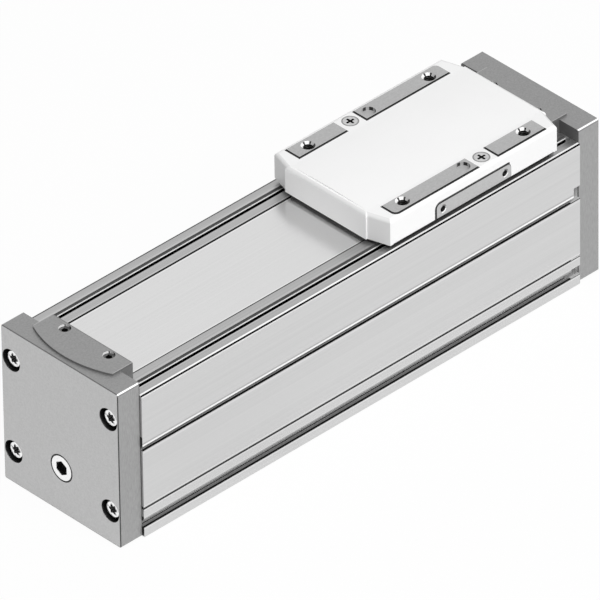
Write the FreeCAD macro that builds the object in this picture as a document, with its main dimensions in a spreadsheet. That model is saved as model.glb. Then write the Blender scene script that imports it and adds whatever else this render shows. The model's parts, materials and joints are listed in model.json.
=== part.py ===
import FreeCAD, Part
import math
import os
import re
import Sketcher
from FreeCAD import Placement, Rotation, Vector

# Belt driven linear axis, in millimetres. X runs along the axis, Z is up, and the
# origin is at the middle of the underside. The near end is at -X. The slide stands
# near the far end, as it does at rest.

# Every size that can be set by itself, with what it measures.
SIZES = (
    ("profile_length", 287.6, "length of the extruded profile"),
    ("side_shoulder", 16.3, "profile, width beyond the cover strip on each side"),
    ("roof_thickness", 9.8, "thickness of the profile's roof"),
    ("edge_bevel", 0.5, "bevel on the profile's upper edges"),
    ("side_wall", 14, "thickness of the profile's side walls"),
    ("cavity_floor", 10, "thickness of the profile's floor"),
    ("top_slot_width", 37.2, "slot in the profile's top"),
    ("sensor_drop", 31.6, "sensor slot, depth below the profile's top"),
    ("sensor_mouth", 1.5, "height of the sensor slot's mouth"),
    ("sensor_bevel", 0.8, "bevel above the sensor slot's mouth"),
    ("sensor_lip", 1.3, "thickness of the lip over the sensor slot"),
    ("sensor_depth", 5.5, "depth of the sensor slot"),
    ("sensor_height", 7.5, "inner height of the sensor slot"),
    ("sensor_notch", 4.2, "length of the notch where a sensor goes in"),
    ("clamp_slot_z", 5.7, "lower edge of the clamping slot's mouth"),
    ("clamp_mouth", 3.5, "height of the clamping slot's mouth"),
    ("clamp_bevel", 1.0, "bevel above the clamping slot's mouth"),
    ("clamp_lip", 1.8, "thickness of the clamping slot's lips"),
    ("clamp_depth", 6, "depth of the clamping slot"),
    ("clamp_undercut", 1.8, "how far the clamping slot widens behind its lips"),
    ("clamp_notch", 5.8, "length of the notch at the clamping slot's far end"),
    ("mark_line_z", 16.7, "height of the fine line along the side"),
    ("mark_line_size", 0.4, "half width and depth of the fine line"),
    ("edge_line_size", 0.3, "half width and depth of the line under the upper edges"),
    ("groove_inset", 8.15, "middle of the top groove, distance from the profile's side"),
    ("groove_width", 4.5, "width of the top groove"),
    ("groove_ledge", 0.6, "ledge inside the top groove"),
    ("groove_ledge_depth", 2.0, "depth of the ledge"),
    ("groove_depth", 3.8, "depth of the top groove"),
    ("base_slot_y", 20, "middle of the slots in the underside"),
    ("base_mouth", 6, "mouth of the underside slots"),
    ("base_lip", 2.1, "lip thickness of the underside slots"),
    ("base_pocket", 10, "inner width of the underside slots"),
    ("base_slot_depth", 5.4, "depth of the underside slots"),
    ("chamber_inset", 7, "middle of the chambers, distance from the profile's side"),
    ("chamber_width", 8, "width of the hollow chambers"),
    ("chamber_z", 24, "lower edge of the hollow chambers"),
    ("chamber_height", 10, "height of the hollow chambers"),
    ("cap_thickness", 14, "thickness of the end caps"),
    ("cap_inset", 1.3, "how far the caps stand back from the profile's sides"),
    ("cap_rise", 7.2, "height of the caps over the profile"),
    ("cap_bevel", 0.7, "bevel on the end caps' long edges"),
    ("cap_rim", 0.35, "bevel round the end caps' outer faces"),
    ("nose_rise", 1.2, "height of the nose's pad above the cap"),
    ("nose_side", 2.4, "nose, width beyond the strip on each side"),
    ("nose_reach", 7.8, "how far the nose reaches over the profile"),
    ("nose_depth", 13, "length of the pad's side, from the nose's end"),
    ("nose_bulge", 6.1, "how far the pad's round front stands out"),
    ("nose_round", 1.5, "round corners of the pad"),
    ("screw_inset", 8, "cap screws, distance from the profile's sides"),
    ("screw_low_z", 18.5, "height of the lower cap screws"),
    ("screw_drop", 10.3, "upper cap screws, depth below the profile's top"),
    ("cap_screw_d", 5, "thread of the cap screws"),
    ("cap_head_d", 8.5, "head of the cap screws"),
    ("cap_head_height", 4.4, "height of the cap screw heads"),
    ("cap_screw_grip", 16, "length of cap screw thread in the profile"),
    ("cap_recess_d", 12, "recess round the cap screw heads"),
    ("cap_recess_depth", 6, "depth of the recess"),
    ("cap_socket", 4, "drive in the cap screw heads, across flats"),
    ("plug_d", 13.2, "screw plug in the end cap"),
    ("plug_z", 26, "height of the screw plug"),
    ("plug_length", 4, "length of the screw plug"),
    ("plug_socket", 7, "hexagon socket in the screw plug, across flats"),
    ("plug_gap", 0.3, "gap round the plug at the cap's face"),
    ("thread_gap", 0.05, "radial gap between a thread and its hole"),
    ("slide_gap", 0.3, "gap between pieces that move past each other"),
    ("seat_gap", 0.05, "gap where a piece sits in a seat"),
    ("set_screw_d", 6, "set screws in the nose"),
    ("set_screw_y", 15, "set screws, distance from the middle"),
    ("set_screw_x", 4.0, "set screws, distance from the cap's inner face"),
    ("set_screw_sink", 1.2, "how deep the set screws sit"),
    ("set_screw_socket", 3, "hexagon socket of the set screws, across flats"),
    ("strip_land", 6.1, "width of the profile under each edge of the strip"),
    ("strip_thickness", 0.4, "thickness of the cover strip"),
    ("strip_side_gap", 0.35, "gap beside the cover strip"),
    ("strip_base_gap", 0.25, "gap between the lifted strip and the slide body's base"),
    ("strip_guide_room", 1.8, "flat length of strip between its ramp and a strip guide"),
    ("strip_ramp", 18, "length over which the strip rises"),
    ("clamp_plate_thickness", 1.6, "plate that presses on the strip"),
    ("magnet_inset", 2.4, "middle of the magnets, distance inside the strip's edge"),
    ("magnet_width", 4, "width of the magnet strips"),
    ("magnet_height", 3, "height of the magnet strips"),
    ("rail_width", 15, "width of the guide rail"),
    ("rail_height", 15, "height of the guide rail"),
    ("rail_end_inset", 36.8, "guide rail, distance from the profile's ends"),
    ("rail_notch", 1.6, "depth of the ball tracks in the rail"),
    ("rail_pitch", 60, "spacing of the rail screws"),
    ("rail_screw_inset", 6, "least distance of a rail screw from the rail's end"),
    ("rail_screw_d", 4, "thread of the rail screws"),
    ("runner_width", 34, "width of the runner block"),
    ("runner_top", 24, "height of the runner block over the rail's foot"),
    ("runner_clear", 4, "gap between the runner block and the floor"),
    ("runner_length", 40, "length of the runner's steel block"),
    ("runner_end", 9.2, "thickness of the runner's end plates"),
    ("runner_hole", 11.5, "runner screws, half spacing"),
    ("runner_screw_d", 4, "thread of the runner screws"),
    ("track_gap", 0.12, "gap between the rail and the runner"),
    ("rest_room", 1.2, "how far the slide stands from the far end of its stroke"),
    ("yoke_side_gap", 5, "gap between the yoke and the profile's inner walls"),
    ("stem_half", 17, "half length of the yoke's stem"),
    ("shelf_rise", 6, "shelves for the belt clamps, height over the pulley axes"),
    ("yoke_roof_gap", 0.5, "gap between the yoke and the profile's roof"),
    ("pitch", 5, "tooth pitch of the belt"),
    ("pulley_teeth", 18, "teeth of each pulley"),
    ("belt_width", 16, "width of the belt"),
    ("belt_back", 1.0, "thickness of the belt without its teeth"),
    ("belt_pitch_depth", 0.5, "pitch line, depth above the tooth root"),
    ("tooth_height", 1.2, "height of the belt's teeth"),
    ("tooth_root", 2.65, "width of a belt tooth at its root"),
    ("tooth_tip", 1.8, "width of a belt tooth at its tip"),
    ("mesh_gap", 0.12, "gap between the belt and the pulleys"),
    ("pulley_inset", 18.8, "pulley axis, distance from the profile's end"),
    ("belt_clear", 3.2, "gap between the runner block and the belt over it"),
    ("belt_cover", 5.15, "room over the belt inside the profile"),
    ("belt_side_room", 1, "toothed width of the pulleys beside the belt"),
    ("flange_thickness", 1, "thickness of the pulley flanges"),
    ("flange_rise", 2.3, "how far the flanges stand over the teeth"),
    ("block_inner_gap", 1, "gap between a pulley flange and its block"),
    ("block_side_gap", 0.4, "gap between the blocks and the profile"),
    ("block_length", 34.4, "length of the drive block"),
    ("idler_length", 32, "length of the idler block"),
    ("saddle_gap", 0.6, "gap between the pulley flanges and the floor of their slot"),
    ("bearing_bore", 15, "bore of the drive bearings"),
    ("bearing_d", 24, "outer diameter of the drive bearings"),
    ("bearing_width", 5, "width of the drive bearings"),
    ("bearing_lip", 1.5, "shoulder between a bearing and the pulley slot"),
    ("circlip_width", 1.1, "width of the retaining rings"),
    ("shaft_bore", 10, "bore of the drive pulley's hollow shaft"),
    ("shaft_reach", 36, "hollow shaft, reach towards the drive side"),
    ("shaft_back", 21, "hollow shaft, reach towards the other side"),
    ("shaft_gap", 0.02, "radial gap of a ring on its shaft"),
    ("ball_gap", 0.08, "gap between the halves of a bearing"),
    ("idler_axle_d", 8, "axle of the idler pulley"),
    ("idler_bearing_d", 22, "outer diameter of the idler bearings"),
    ("idler_bearing_width", 7, "width of the idler bearings"),
    ("idler_bearing_gap", 3, "distance between the idler bearings"),
    ("drive_opening_d", 26, "opening in the side wall for the drive shaft"),
    ("flange_hole", 13.5, "motor flange threads, half spacing"),
    ("flange_hole_d", 3.3, "motor flange threads, core diameter"),
    ("tension_d", 6, "thread of the tension screw"),
    ("tension_head_d", 10, "head of the tension screw"),
    ("tension_head_height", 5.6, "height of the tension screw's head"),
    ("tension_length", 34, "length of the tension screw"),
    ("plug_head_gap", 0.8, "gap between the plug and the tension screw's head"),
    ("buffer_d", 10, "diameter of the end buffers"),
    ("buffer_y", 17, "end buffers, distance from the middle"),
    ("buffer_z", 47, "height of the end buffers"),
    ("buffer_length", 3.05, "length of the end buffers on the drive block"),
    ("end_gap", 0.3, "gap left at each end of the stroke"),
    ("block_screw_d", 5, "screws that hold the drive block"),
    ("block_screw_x", 11, "drive block screws, half spacing along X"),
    ("block_screw_y", 8, "drive block screws, distance from the middle"),
    ("belt_clamp_width", 28, "width of the belt clamps"),
    ("belt_clamp_gap", 0.2, "gap round the belt in its clamp"),
    ("clamp_screw_d", 3, "belt clamp screws"),
    ("clamp_screw_y", 11, "belt clamp screws, distance from the middle"),
    ("body_gap", 2.6, "gap between the profile and the slide body"),
    ("body_base", 4, "thickness of the slide body's base"),
    ("body_half", 52.5, "half length of the slide body's sides"),
    ("body_height", 12.1, "height of the slide body's sides"),
    ("strip_room", 3.2, "room beside the strip inside the slide body"),
    ("land_proud", 0.3, "how far the lands stand over the slide cover"),
    ("land_inset", 0.1, "lands, distance from the slide body's inner face"),
    ("land_margin", 0.9, "lands, distance from the slide body's outer face"),
    ("land_end_inset", 3, "lands, distance from the slide body's ends"),
    ("land_long_end", 5.0, "long lands, how far past the middle"),
    ("land_short_end", 18.4, "short lands, end nearest the middle"),
    ("land_round", 2.4, "round corner of the long lands"),
    ("thread_x", 40, "slide threads, half spacing along X"),
    ("thread_shift", 0.5, "load threads, distance inside the lands' middle line"),
    ("thread_core", 5, "core diameter of the slide threads"),
    ("thread_depth", 12, "depth of the slide threads"),
    ("thread_sink", 7.2, "countersink of the slide threads"),
    ("centring_d", 7, "centring holes"),
    ("centring_depth", 2, "depth of the centring holes"),
    ("pad_half", 24.5, "half length of the side pads"),
    ("pad_height", 7.6, "height of the side pads"),
    ("pad_round", 2.2, "round corners of the side pads"),
    ("side_thread_x", 20.5, "side pad threads, half spacing"),
    ("side_thread_rise", 3.8, "side pad threads, height over the slide body's underside"),
    ("side_thread_core", 3.3, "core diameter of the side pad threads"),
    ("side_thread_depth", 8, "depth of the side pad threads"),
    ("body_screw_x", 13, "screws from the slide body into the yoke"),
    ("body_screw_d", 5, "thread of those screws"),
    ("cover_inset", 1.7, "how far the slide's sides stand back from the profile's"),
    ("cover_gap", 2.3, "gap between the profile and the slide cover"),
    ("cover_wall", 1.3, "side wall of the slide cover"),
    ("cover_end_wall", 1.8, "end wall of the slide cover"),
    ("cover_roof", 2.0, "thickness of the cover's top"),
    ("cover_round", 1.9, "round edge of the cover's top"),
    ("cover_seat_gap", 0.1, "gap between the cover and the slide body"),
    ("hood_reach", 7.2, "how far the cover's middle part reaches past the slide body"),
    ("hood_side", 2.7, "hood, width beyond the strip on each side"),
    ("hood_crown", 0.8, "how far the hood's middle stands over the cover's top"),
    ("hood_round", 2.6, "round edge at the hood's ends"),
    ("shoulder_inner_reach", 6.3, "cover's shoulders beside the hood, reach past the slide body"),
    ("shoulder_outer_reach", 2.7, "cover's shoulders at the side, reach past the slide body"),
    ("window_gap", 0.25, "gap round the lands in the cover's windows"),
    ("cover_screw_x", 11.7, "cover screws, distance from the slide's middle"),
    ("cover_screw_d", 4, "thread of the cover screws"),
    ("cover_head_d", 8, "head of the cover screws"),
    ("cover_screw_grip", 7, "length of the cover screws in the slide body"),
    ("guide_length", 6.8, "length of the strip guides"),
    ("guide_end_gap", 0.3, "gap between the strip guides and the cover's ends"),
    ("guide_side_gap", 0.3, "gap beside the strip guides"),
)

# Sizes that follow from those above.
DERIVED = (
    ("pitch_radius", "pitch * pulley_teeth / (2 * pi)"),
    ("runner_roof", "cavity_floor + runner_top"),
    ("belt_reach", "pitch_radius - belt_pitch_depth + belt_back"),
    ("pulley_z", "runner_roof + belt_clear + belt_reach"),
    ("cavity_top", "pulley_z + belt_reach + belt_cover"),
    ("profile_height", "cavity_top + roof_thickness"),
    ("strip_width", "top_slot_width + 2 * strip_land"),
    ("profile_width", "strip_width + 2 * side_shoulder"),
    ("cavity_width", "profile_width - 2 * side_wall"),
    ("sensor_slot_z", "profile_height - sensor_drop"),
    ("groove_y", "profile_width / 2 - groove_inset"),
    ("chamber_y", "profile_width / 2 - chamber_inset"),
    ("cap_width", "profile_width - 2 * cap_inset"),
    ("cap_height", "profile_height + cap_rise"),
    ("nose_width", "strip_width + 2 * nose_side"),
    ("screw_y", "profile_width / 2 - screw_inset"),
    ("screw_high_z", "profile_height - screw_drop"),
    ("magnet_y", "strip_width / 2 - magnet_inset"),
    ("yoke_width", "cavity_width - 2 * yoke_side_gap"),
    ("yoke_step_z", "pulley_z + shelf_rise"),
    ("pulley_face", "belt_width + 2 * belt_side_room"),
    ("drum_radius", "pitch_radius - belt_pitch_depth - mesh_gap"),
    ("flange_radius", "drum_radius + flange_rise"),
    ("block_saddle_z", "pulley_z - flange_radius - saddle_gap"),
    ("block_reach", "profile_length / 2 - seat_gap - block_length"),
    ("rail_half", "profile_length / 2 - rail_end_inset"),
    ("body_bottom", "profile_height + body_gap"),
    ("body_top", "body_bottom + body_height"),
    ("land_rise", "cover_roof + cover_seat_gap + land_proud"),
    ("slide_top", "body_top + land_rise"),
    ("cover_top", "slide_top - land_proud"),
    ("cover_bottom", "profile_height + cover_gap"),
    ("pad_top", "body_bottom + pad_height"),
    ("side_thread_z", "body_bottom + side_thread_rise"),
    ("cover_half_width", "profile_width / 2 - cover_inset"),
    ("body_inner", "strip_width / 2 + strip_room"),
    ("body_outer", "cover_half_width - cover_wall - cover_seat_gap"),
    ("land_inner", "body_inner + land_inset"),
    ("land_outer", "body_outer - land_margin"),
    ("thread_y", "(land_inner + land_outer) / 2 - thread_shift"),
    ("cover_screw_y", "(land_inner + land_outer) / 2"),
    ("hood_width", "strip_width + 2 * hood_side"),
    ("hood_half", "body_half + hood_reach"),
    ("shoulder_inner", "body_half + shoulder_inner_reach"),
    ("shoulder_outer", "body_half + shoulder_outer_reach"),
    ("land_end", "body_half - land_end_inset"),
    ("guide_end", "hood_half - cover_end_wall - guide_end_gap"),
    ("guide_start", "guide_end - guide_length"),
    ("strip_high_half", "guide_start - strip_guide_room - strip_ramp"),
    ("strip_lift", "body_gap + body_base + strip_base_gap + seat_gap + strip_thickness"),
    ("slide_rest", "profile_length / 2 - nose_reach - end_gap - hood_half - rest_room"),
    ("yoke_half", "block_reach - buffer_length - end_gap - rest_room - slide_rest"),
    ("tension_web", "cap_thickness - plug_length - plug_head_gap - tension_head_height"),
)

doc = FreeCAD.newDocument("LinearAxis")
sheet = doc.addObject("Spreadsheet::Sheet", "Sizes")
for row, (alias, amount, meaning) in enumerate(SIZES, start=1):
    sheet.set(f"A{row}", meaning)
    sheet.set(f"B{row}", str(amount))
    sheet.setAlias(f"B{row}", alias)
doc.recompute()

HOLDERS = {alias: "Sizes." for alias, amount, meaning in SIZES}
NODES = []


def bound(text):
    """The same formula, with each size looked up where it is kept."""
    return re.sub(r"[a-z_]+", lambda word: HOLDERS.get(word.group(0), "") + word.group(0), text)


derived = doc.addObject("App::VarSet", "Derived")
for alias, formula in DERIVED:
    derived.addProperty("App::PropertyFloat", alias, "Sizes")
    derived.setExpression(alias, bound(formula))
    HOLDERS[alias] = "Derived."
doc.recompute()


def size(alias):
    """A size as a number."""
    if HOLDERS[alias] == "Derived.":
        return float(getattr(derived, alias))
    return float(sheet.get(alias))


# Formulas that several pieces share.
END = "(profile_length / 2)"
CAP_FACE = "(profile_length / 2 + cap_thickness)"
STRIP_SEAT = "(profile_height - strip_thickness - seat_gap)"
PULLEY_X = "(profile_length / 2 - pulley_inset)"
BLOCK_IN = "(pulley_face / 2 + flange_thickness + block_inner_gap)"
BLOCK_OUT = "(cavity_width / 2 - block_side_gap)"
BELT_TIP_R = "(pitch_radius - belt_pitch_depth - tooth_height)"


def node(item, name):
    """Mark an object as one piece of the axis."""
    item.Label = name
    NODES.append(item)
    return item


def tie(item, prop, text):
    item.setExpression(prop, bound(text))


def put(item, x="0", y="0", z="0"):
    tie(item, "Placement.Base.x", x)
    tie(item, "Placement.Base.y", y)
    tie(item, "Placement.Base.z", z)
    return item


def block(name, x, y, z):
    """A box between two formulas on each axis."""
    item = doc.addObject("Part::Box", name)
    tie(item, "Length", f"({x[1]}) - ({x[0]})")
    tie(item, "Width", f"({y[1]}) - ({y[0]})")
    tie(item, "Height", f"({z[1]}) - ({z[0]})")
    return put(item, x[0], y[0], z[0])


TURNS = {
    "x": Rotation(Vector(0, 1, 0), 90),
    "y": Rotation(Vector(1, 0, 0), -90),
    "z": Rotation(),
}


def rod(name, axis, radius, start, end, across):
    """A cylinder along an axis, between two formulas, centred on the other two axes."""
    item = doc.addObject("Part::Cylinder", name)
    tie(item, "Radius", radius)
    tie(item, "Height", f"({end}) - ({start})")
    return aim(item, axis, start, across)


def cone(name, axis, radii, start, end, across):
    """A cone along an axis, from its radius at the start to its radius at the end."""
    item = doc.addObject("Part::Cone", name)
    tie(item, "Radius1", radii[0])
    tie(item, "Radius2", radii[1])
    tie(item, "Height", f"({end}) - ({start})")
    return aim(item, axis, start, across)


def hexagon(name, axis, flats, start, end, across):
    """A hexagonal prism along an axis, given across its flats."""
    item = doc.addObject("Part::Prism", name)
    item.Polygon = 6
    tie(item, "Circumradius", f"({flats}) / sqrt(3)")
    tie(item, "Height", f"({end}) - ({start})")
    return aim(item, axis, start, across)


def aim(item, axis, start, across):
    item.Placement = Placement(Vector(), TURNS[axis])
    spots = {
        "x": (start, across[0], across[1]),
        "y": (across[0], start, across[1]),
        "z": (across[0], across[1], start),
    }
    return put(item, *spots[axis])


def fuse(name, items):
    item = doc.addObject("Part::MultiFuse", name)
    item.Shapes = items
    return item


def cut(name, base, tools):
    item = doc.addObject("Part::Cut", name)
    item.Base = base
    item.Tool = tools[0] if len(tools) == 1 else fuse(name + "_cutters", tools)
    return item


def group(name, items):
    item = doc.addObject("Part::Compound", name)
    item.Links = items
    return item


def half_turn(item, far):
    """Far end pieces are the near end's pieces, turned about the upright axis."""
    if far:
        item.Placement = Placement(Vector(), Rotation(Vector(0, 0, 1), 180))
    return item


def origin_plane(body, role):
    return [item for item in body.Origin.OriginFeatures if item.Role == role][0]


def sketch(body, name, plane, level="0"):
    """An empty sketch on one of the body's own planes, moved out by a formula."""
    item = body.newObject("Sketcher::SketchObject", name)
    item.AttachmentSupport = (origin_plane(body, plane), [""])
    item.MapMode = "FlatFace"
    tie(item, "AttachmentOffset.Base.z", level)
    return item


def tie_point(item, index, end, x, y):
    """Hold one point of a sketch at two formulas."""
    spot = item.getPoint(index, end)
    for kind, text, now in (("DistanceX", x, spot.x), ("DistanceY", y, spot.y)):
        mark = item.addConstraint(Sketcher.Constraint(kind, -1, 1, index, end, now))
        item.setExpression(f"Constraints[{mark}]", bound(text))


def outline(item, corners):
    """A closed outline of straight lines through the corners."""
    count = len(corners)
    first = item.GeometryCount
    ring = [Vector(math.cos(2 * math.pi * i / count), math.sin(2 * math.pi * i / count), 0)
            for i in range(count)]
    for i in range(count):
        item.addGeometry(Part.LineSegment(ring[i], ring[(i + 1) % count]), False)
    for i in range(count):
        after = first + (i + 1) % count
        item.addConstraint(Sketcher.Constraint("Coincident", first + i, 2, after, 1))
    for i, (x, y) in enumerate(corners):
        tie_point(item, first + i, 1, x, y)
    return item


def rectangle(item, x0, x1, y0, y1):
    return outline(item, [(x0, y0), (x1, y0), (x1, y1), (x0, y1)])


def ring(item, x, y, radius):
    """A circle at two formulas."""
    index = item.addGeometry(Part.Circle(Vector(1, 1, 0), Vector(0, 0, 1), 1.0), False)
    tie_point(item, index, 3, x, y)
    mark = item.addConstraint(Sketcher.Constraint("Radius", index, 1.0))
    item.setExpression(f"Constraints[{mark}]", bound(radius))
    return item


def pad(body, profile, length, both_ways=False, backwards=False):
    item = body.newObject("PartDesign::Pad", profile.Name + "_pad")
    item.Profile = profile
    tie(item, "Length", length)
    item.SideType = "Symmetric" if both_ways else "One side"
    item.Reversed = backwards
    body.Tip = item
    return item


def pocket(body, profile, length=None, both_ways=False, backwards=False):
    """A pocket of some length, or right through where no length is given."""
    item = body.newObject("PartDesign::Pocket", profile.Name + "_pocket")
    item.Profile = profile
    if length is None:
        item.Type = "ThroughAll"
    else:
        tie(item, "Length", length)
    item.SideType = "Symmetric" if both_ways else "One side"
    item.Reversed = backwards
    body.Tip = item
    return item


def mirror(body, features, plane):
    item = body.newObject("PartDesign::Mirrored", body.Name + "_mirror_" + plane[:2])
    item.Originals = features
    item.MirrorPlane = (origin_plane(body, plane), [""])
    body.Tip = item
    return item


def edges_where(feature, test):
    """Names of the feature's edges whose middle and direction pass a test."""
    found = []
    for number, edge in enumerate(feature.Shape.Edges, start=1):
        middle = edge.valueAt((edge.FirstParameter + edge.LastParameter) / 2)
        way = edge.tangentAt((edge.FirstParameter + edge.LastParameter) / 2)
        if test(middle, way):
            found.append(f"Edge{number}")
    return found


def fillet(body, name, base, radius, test):
    doc.recompute()
    item = body.newObject("PartDesign::Fillet", name)
    item.Base = (base, edges_where(base, test))
    tie(item, "Radius", radius)
    body.Tip = item
    return item


def chamfer(body, name, base, width, test):
    doc.recompute()
    item = body.newObject("PartDesign::Chamfer", name)
    item.Base = (base, edges_where(base, test))
    tie(item, "Size", width)
    body.Tip = item
    return item


def near(a, b):
    return abs(a - b) < 0.01


def make_profile():
    body = doc.addObject("PartDesign::Body", "Profile")
    half = "profile_width / 2"
    blank = outline(sketch(body, "profile_section", "YZ_Plane"), [
        (f"-{half}", "0"), (half, "0"), (half, "profile_height - edge_bevel"),
        (f"{half} - edge_bevel", "profile_height"),
        (f"edge_bevel - {half}", "profile_height"),
        (f"-{half}", "profile_height - edge_bevel")])
    pad(body, blank, "profile_length", both_ways=True)
    over = "profile_height + 1"
    cavity = outline(sketch(body, "cavity_section", "YZ_Plane"), [
        ("-cavity_width / 2", "cavity_floor"), ("cavity_width / 2", "cavity_floor"),
        ("cavity_width / 2", "cavity_top"), ("top_slot_width / 2", "cavity_top"),
        ("top_slot_width / 2", over), ("-top_slot_width / 2", over),
        ("-top_slot_width / 2", "cavity_top"), ("-cavity_width / 2", "cavity_top")])
    pocket(body, cavity, both_ways=True)
    seat = "strip_width / 2 + strip_side_gap"
    recess = rectangle(sketch(body, "strip_seat", "YZ_Plane"), f"-({seat})", seat, STRIP_SEAT, over)
    pocket(body, recess, both_ways=True)
    lines = [("mark_line", "mark_line_z", "mark_line_size"),
             ("edge_line", "profile_height - edge_bevel - 1.5 * edge_line_size", "edge_line_size")]
    paired = [make_side_line(body, half, *line) for line in lines]
    paired += [make_sensor_slot(body, half), make_clamp_slot(body, half), make_groove(body),
               make_base_slot(body), make_side_channels(body)]
    paired += make_slot_notches(body, half)
    mirror(body, paired, "XZ_Plane")
    make_drive_opening(body)
    make_floor_holes(body)
    return node(body, "profile")


def make_sensor_slot(body, half):
    back = f"{half} - sensor_depth"
    lip = f"{half} - sensor_lip"
    mouth = "sensor_slot_z + sensor_mouth"
    section = outline(sketch(body, "sensor_slot", "YZ_Plane"), [
        (f"{half} + 1", "sensor_slot_z"), (f"{half} + 1", f"{mouth} + sensor_bevel"),
        (half, f"{mouth} + sensor_bevel"), (f"{half} - sensor_bevel / 2", mouth), (lip, mouth),
        (lip, "sensor_slot_z + sensor_height"), (back, "sensor_slot_z + sensor_height"),
        (back, "sensor_slot_z")])
    return pocket(body, section, both_ways=True)


def make_clamp_slot(body, half):
    back = f"{half} - clamp_depth"
    lip = f"{half} - clamp_lip"
    mouth = "clamp_slot_z + clamp_mouth"
    section = outline(sketch(body, "clamp_slot", "YZ_Plane"), [
        (f"{half} + 1", "clamp_slot_z"), (f"{half} + 1", f"{mouth} + clamp_bevel"),
        (half, f"{mouth} + clamp_bevel"), (f"{half} - clamp_bevel / 2", mouth), (lip, mouth),
        (lip, f"{mouth} + clamp_undercut"), (back, f"{mouth} + clamp_undercut"),
        (back, "clamp_slot_z - clamp_undercut"), (lip, "clamp_slot_z - clamp_undercut"),
        (lip, "clamp_slot_z")])
    return pocket(body, section, both_ways=True)


def make_side_line(body, half, name, level, depth):
    """A fine V-shaped line along the side."""
    section = outline(sketch(body, name, "YZ_Plane"), [
        (f"{half} + {depth}", f"{level} - 2 * {depth}"), (f"{half} + {depth}", f"{level} + 2 * {depth}"),
        (f"{half} - {depth}", level)])
    return pocket(body, section, both_ways=True)


def make_groove(body):
    inner = "groove_y - groove_width / 2"
    outer = "groove_y + groove_width / 2"
    ledge = "profile_height - groove_ledge_depth"
    floor = "profile_height - groove_depth"
    section = outline(sketch(body, "top_groove", "YZ_Plane"), [
        (inner, "profile_height + 1"), (inner, ledge), (f"{inner} + groove_ledge", ledge),
        (f"{inner} + groove_ledge", floor), (f"{outer} - groove_ledge", floor),
        (f"{outer} - groove_ledge", ledge), (outer, ledge), (outer, "profile_height + 1")])
    return pocket(body, section, both_ways=True)


def make_base_slot(body):
    section = outline(sketch(body, "base_slot", "YZ_Plane"), [
        ("base_slot_y - base_mouth / 2", "-1"), ("base_slot_y + base_mouth / 2", "-1"),
        ("base_slot_y + base_mouth / 2", "base_lip"), ("base_slot_y + base_pocket / 2", "base_lip"),
        ("base_slot_y + base_pocket / 2", "base_slot_depth"),
        ("base_slot_y - base_pocket / 2", "base_slot_depth"),
        ("base_slot_y - base_pocket / 2", "base_lip"), ("base_slot_y - base_mouth / 2", "base_lip")])
    return pocket(body, section, both_ways=True)


def make_side_channels(body):
    """Magnet groove, hollow chamber and the two screw channels of one side wall."""
    section = sketch(body, "side_channels", "YZ_Plane")
    groove = "(magnet_width / 2 + seat_gap)"
    rectangle(section, f"magnet_y - {groove}", f"magnet_y + {groove}",
              f"{STRIP_SEAT} - magnet_height - seat_gap", "profile_height + 1")
    rectangle(section, "chamber_y - chamber_width / 2", "chamber_y + chamber_width / 2",
              "chamber_z", "chamber_z + chamber_height")
    ring(section, "screw_y", "screw_low_z", "cap_screw_d / 2 + thread_gap")
    ring(section, "screw_y", "screw_high_z", "cap_screw_d / 2 + thread_gap")
    return pocket(body, section, both_ways=True)


def make_slot_notches(body, half):
    """At the far end both side slots are open over their whole inner height."""
    sensor = rectangle(sketch(body, "sensor_notch_section", "YZ_Plane", END),
                       f"{half} - sensor_lip - 1", f"{half} + 1",
                       "sensor_slot_z", "sensor_slot_z + sensor_height")
    clamp = rectangle(sketch(body, "clamp_notch_section", "YZ_Plane", END),
                      f"{half} - clamp_lip - 1", f"{half} + 1",
                      "clamp_slot_z", "clamp_slot_z + clamp_mouth + clamp_undercut")
    return [pocket(body, sensor, "sensor_notch"), pocket(body, clamp, "clamp_notch")]


def make_drive_opening(body):
    """Opening for the drive shaft and the motor flange's threads, in one side wall."""
    section = sketch(body, "drive_opening", "XZ_Plane")
    ring(section, PULLEY_X, "pulley_z", "drive_opening_d / 2")
    for side in ("-", "+"):
        for level in ("-", "+"):
            ring(section, f"{PULLEY_X} {side} flange_hole", f"pulley_z {level} flange_hole",
                 "flange_hole_d / 2")
    pocket(body, section)


def make_floor_holes(body):
    """Threads for the rail, and stepped holes for the drive block's screws."""
    threads = sketch(body, "rail_threads", "XY_Plane", "cavity_floor")
    for spot in rail_spots():
        ring(threads, spot, "0", "rail_screw_d / 2 + thread_gap")
    pocket(body, threads, "cavity_floor * 0.8")
    holes = sketch(body, "block_screw_holes", "XY_Plane")
    heads = sketch(body, "block_screw_heads", "XY_Plane")
    for side in ("-", "+"):
        for across in ("-block_screw_y", "block_screw_y"):
            spot = f"{PULLEY_X} {side} block_screw_x"
            ring(holes, spot, across, "block_screw_d / 2 + 5 * thread_gap")
            ring(heads, spot, across, "block_screw_d")
    pocket(body, holes, "cavity_floor + 1", backwards=True)
    pocket(body, heads, "cavity_floor / 2", backwards=True)


def cap_outline(section):
    half = "cap_width / 2"
    inset = f"{half} - cap_bevel"
    top = "cap_height - cap_bevel"
    return outline(section, [
        (f"-({inset})", "0"), (inset, "0"), (half, "cap_bevel"), (half, top),
        (inset, "cap_height"), (f"-({inset})", "cap_height"), (f"-{half}", top),
        (f"-{half}", "cap_bevel")])


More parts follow.
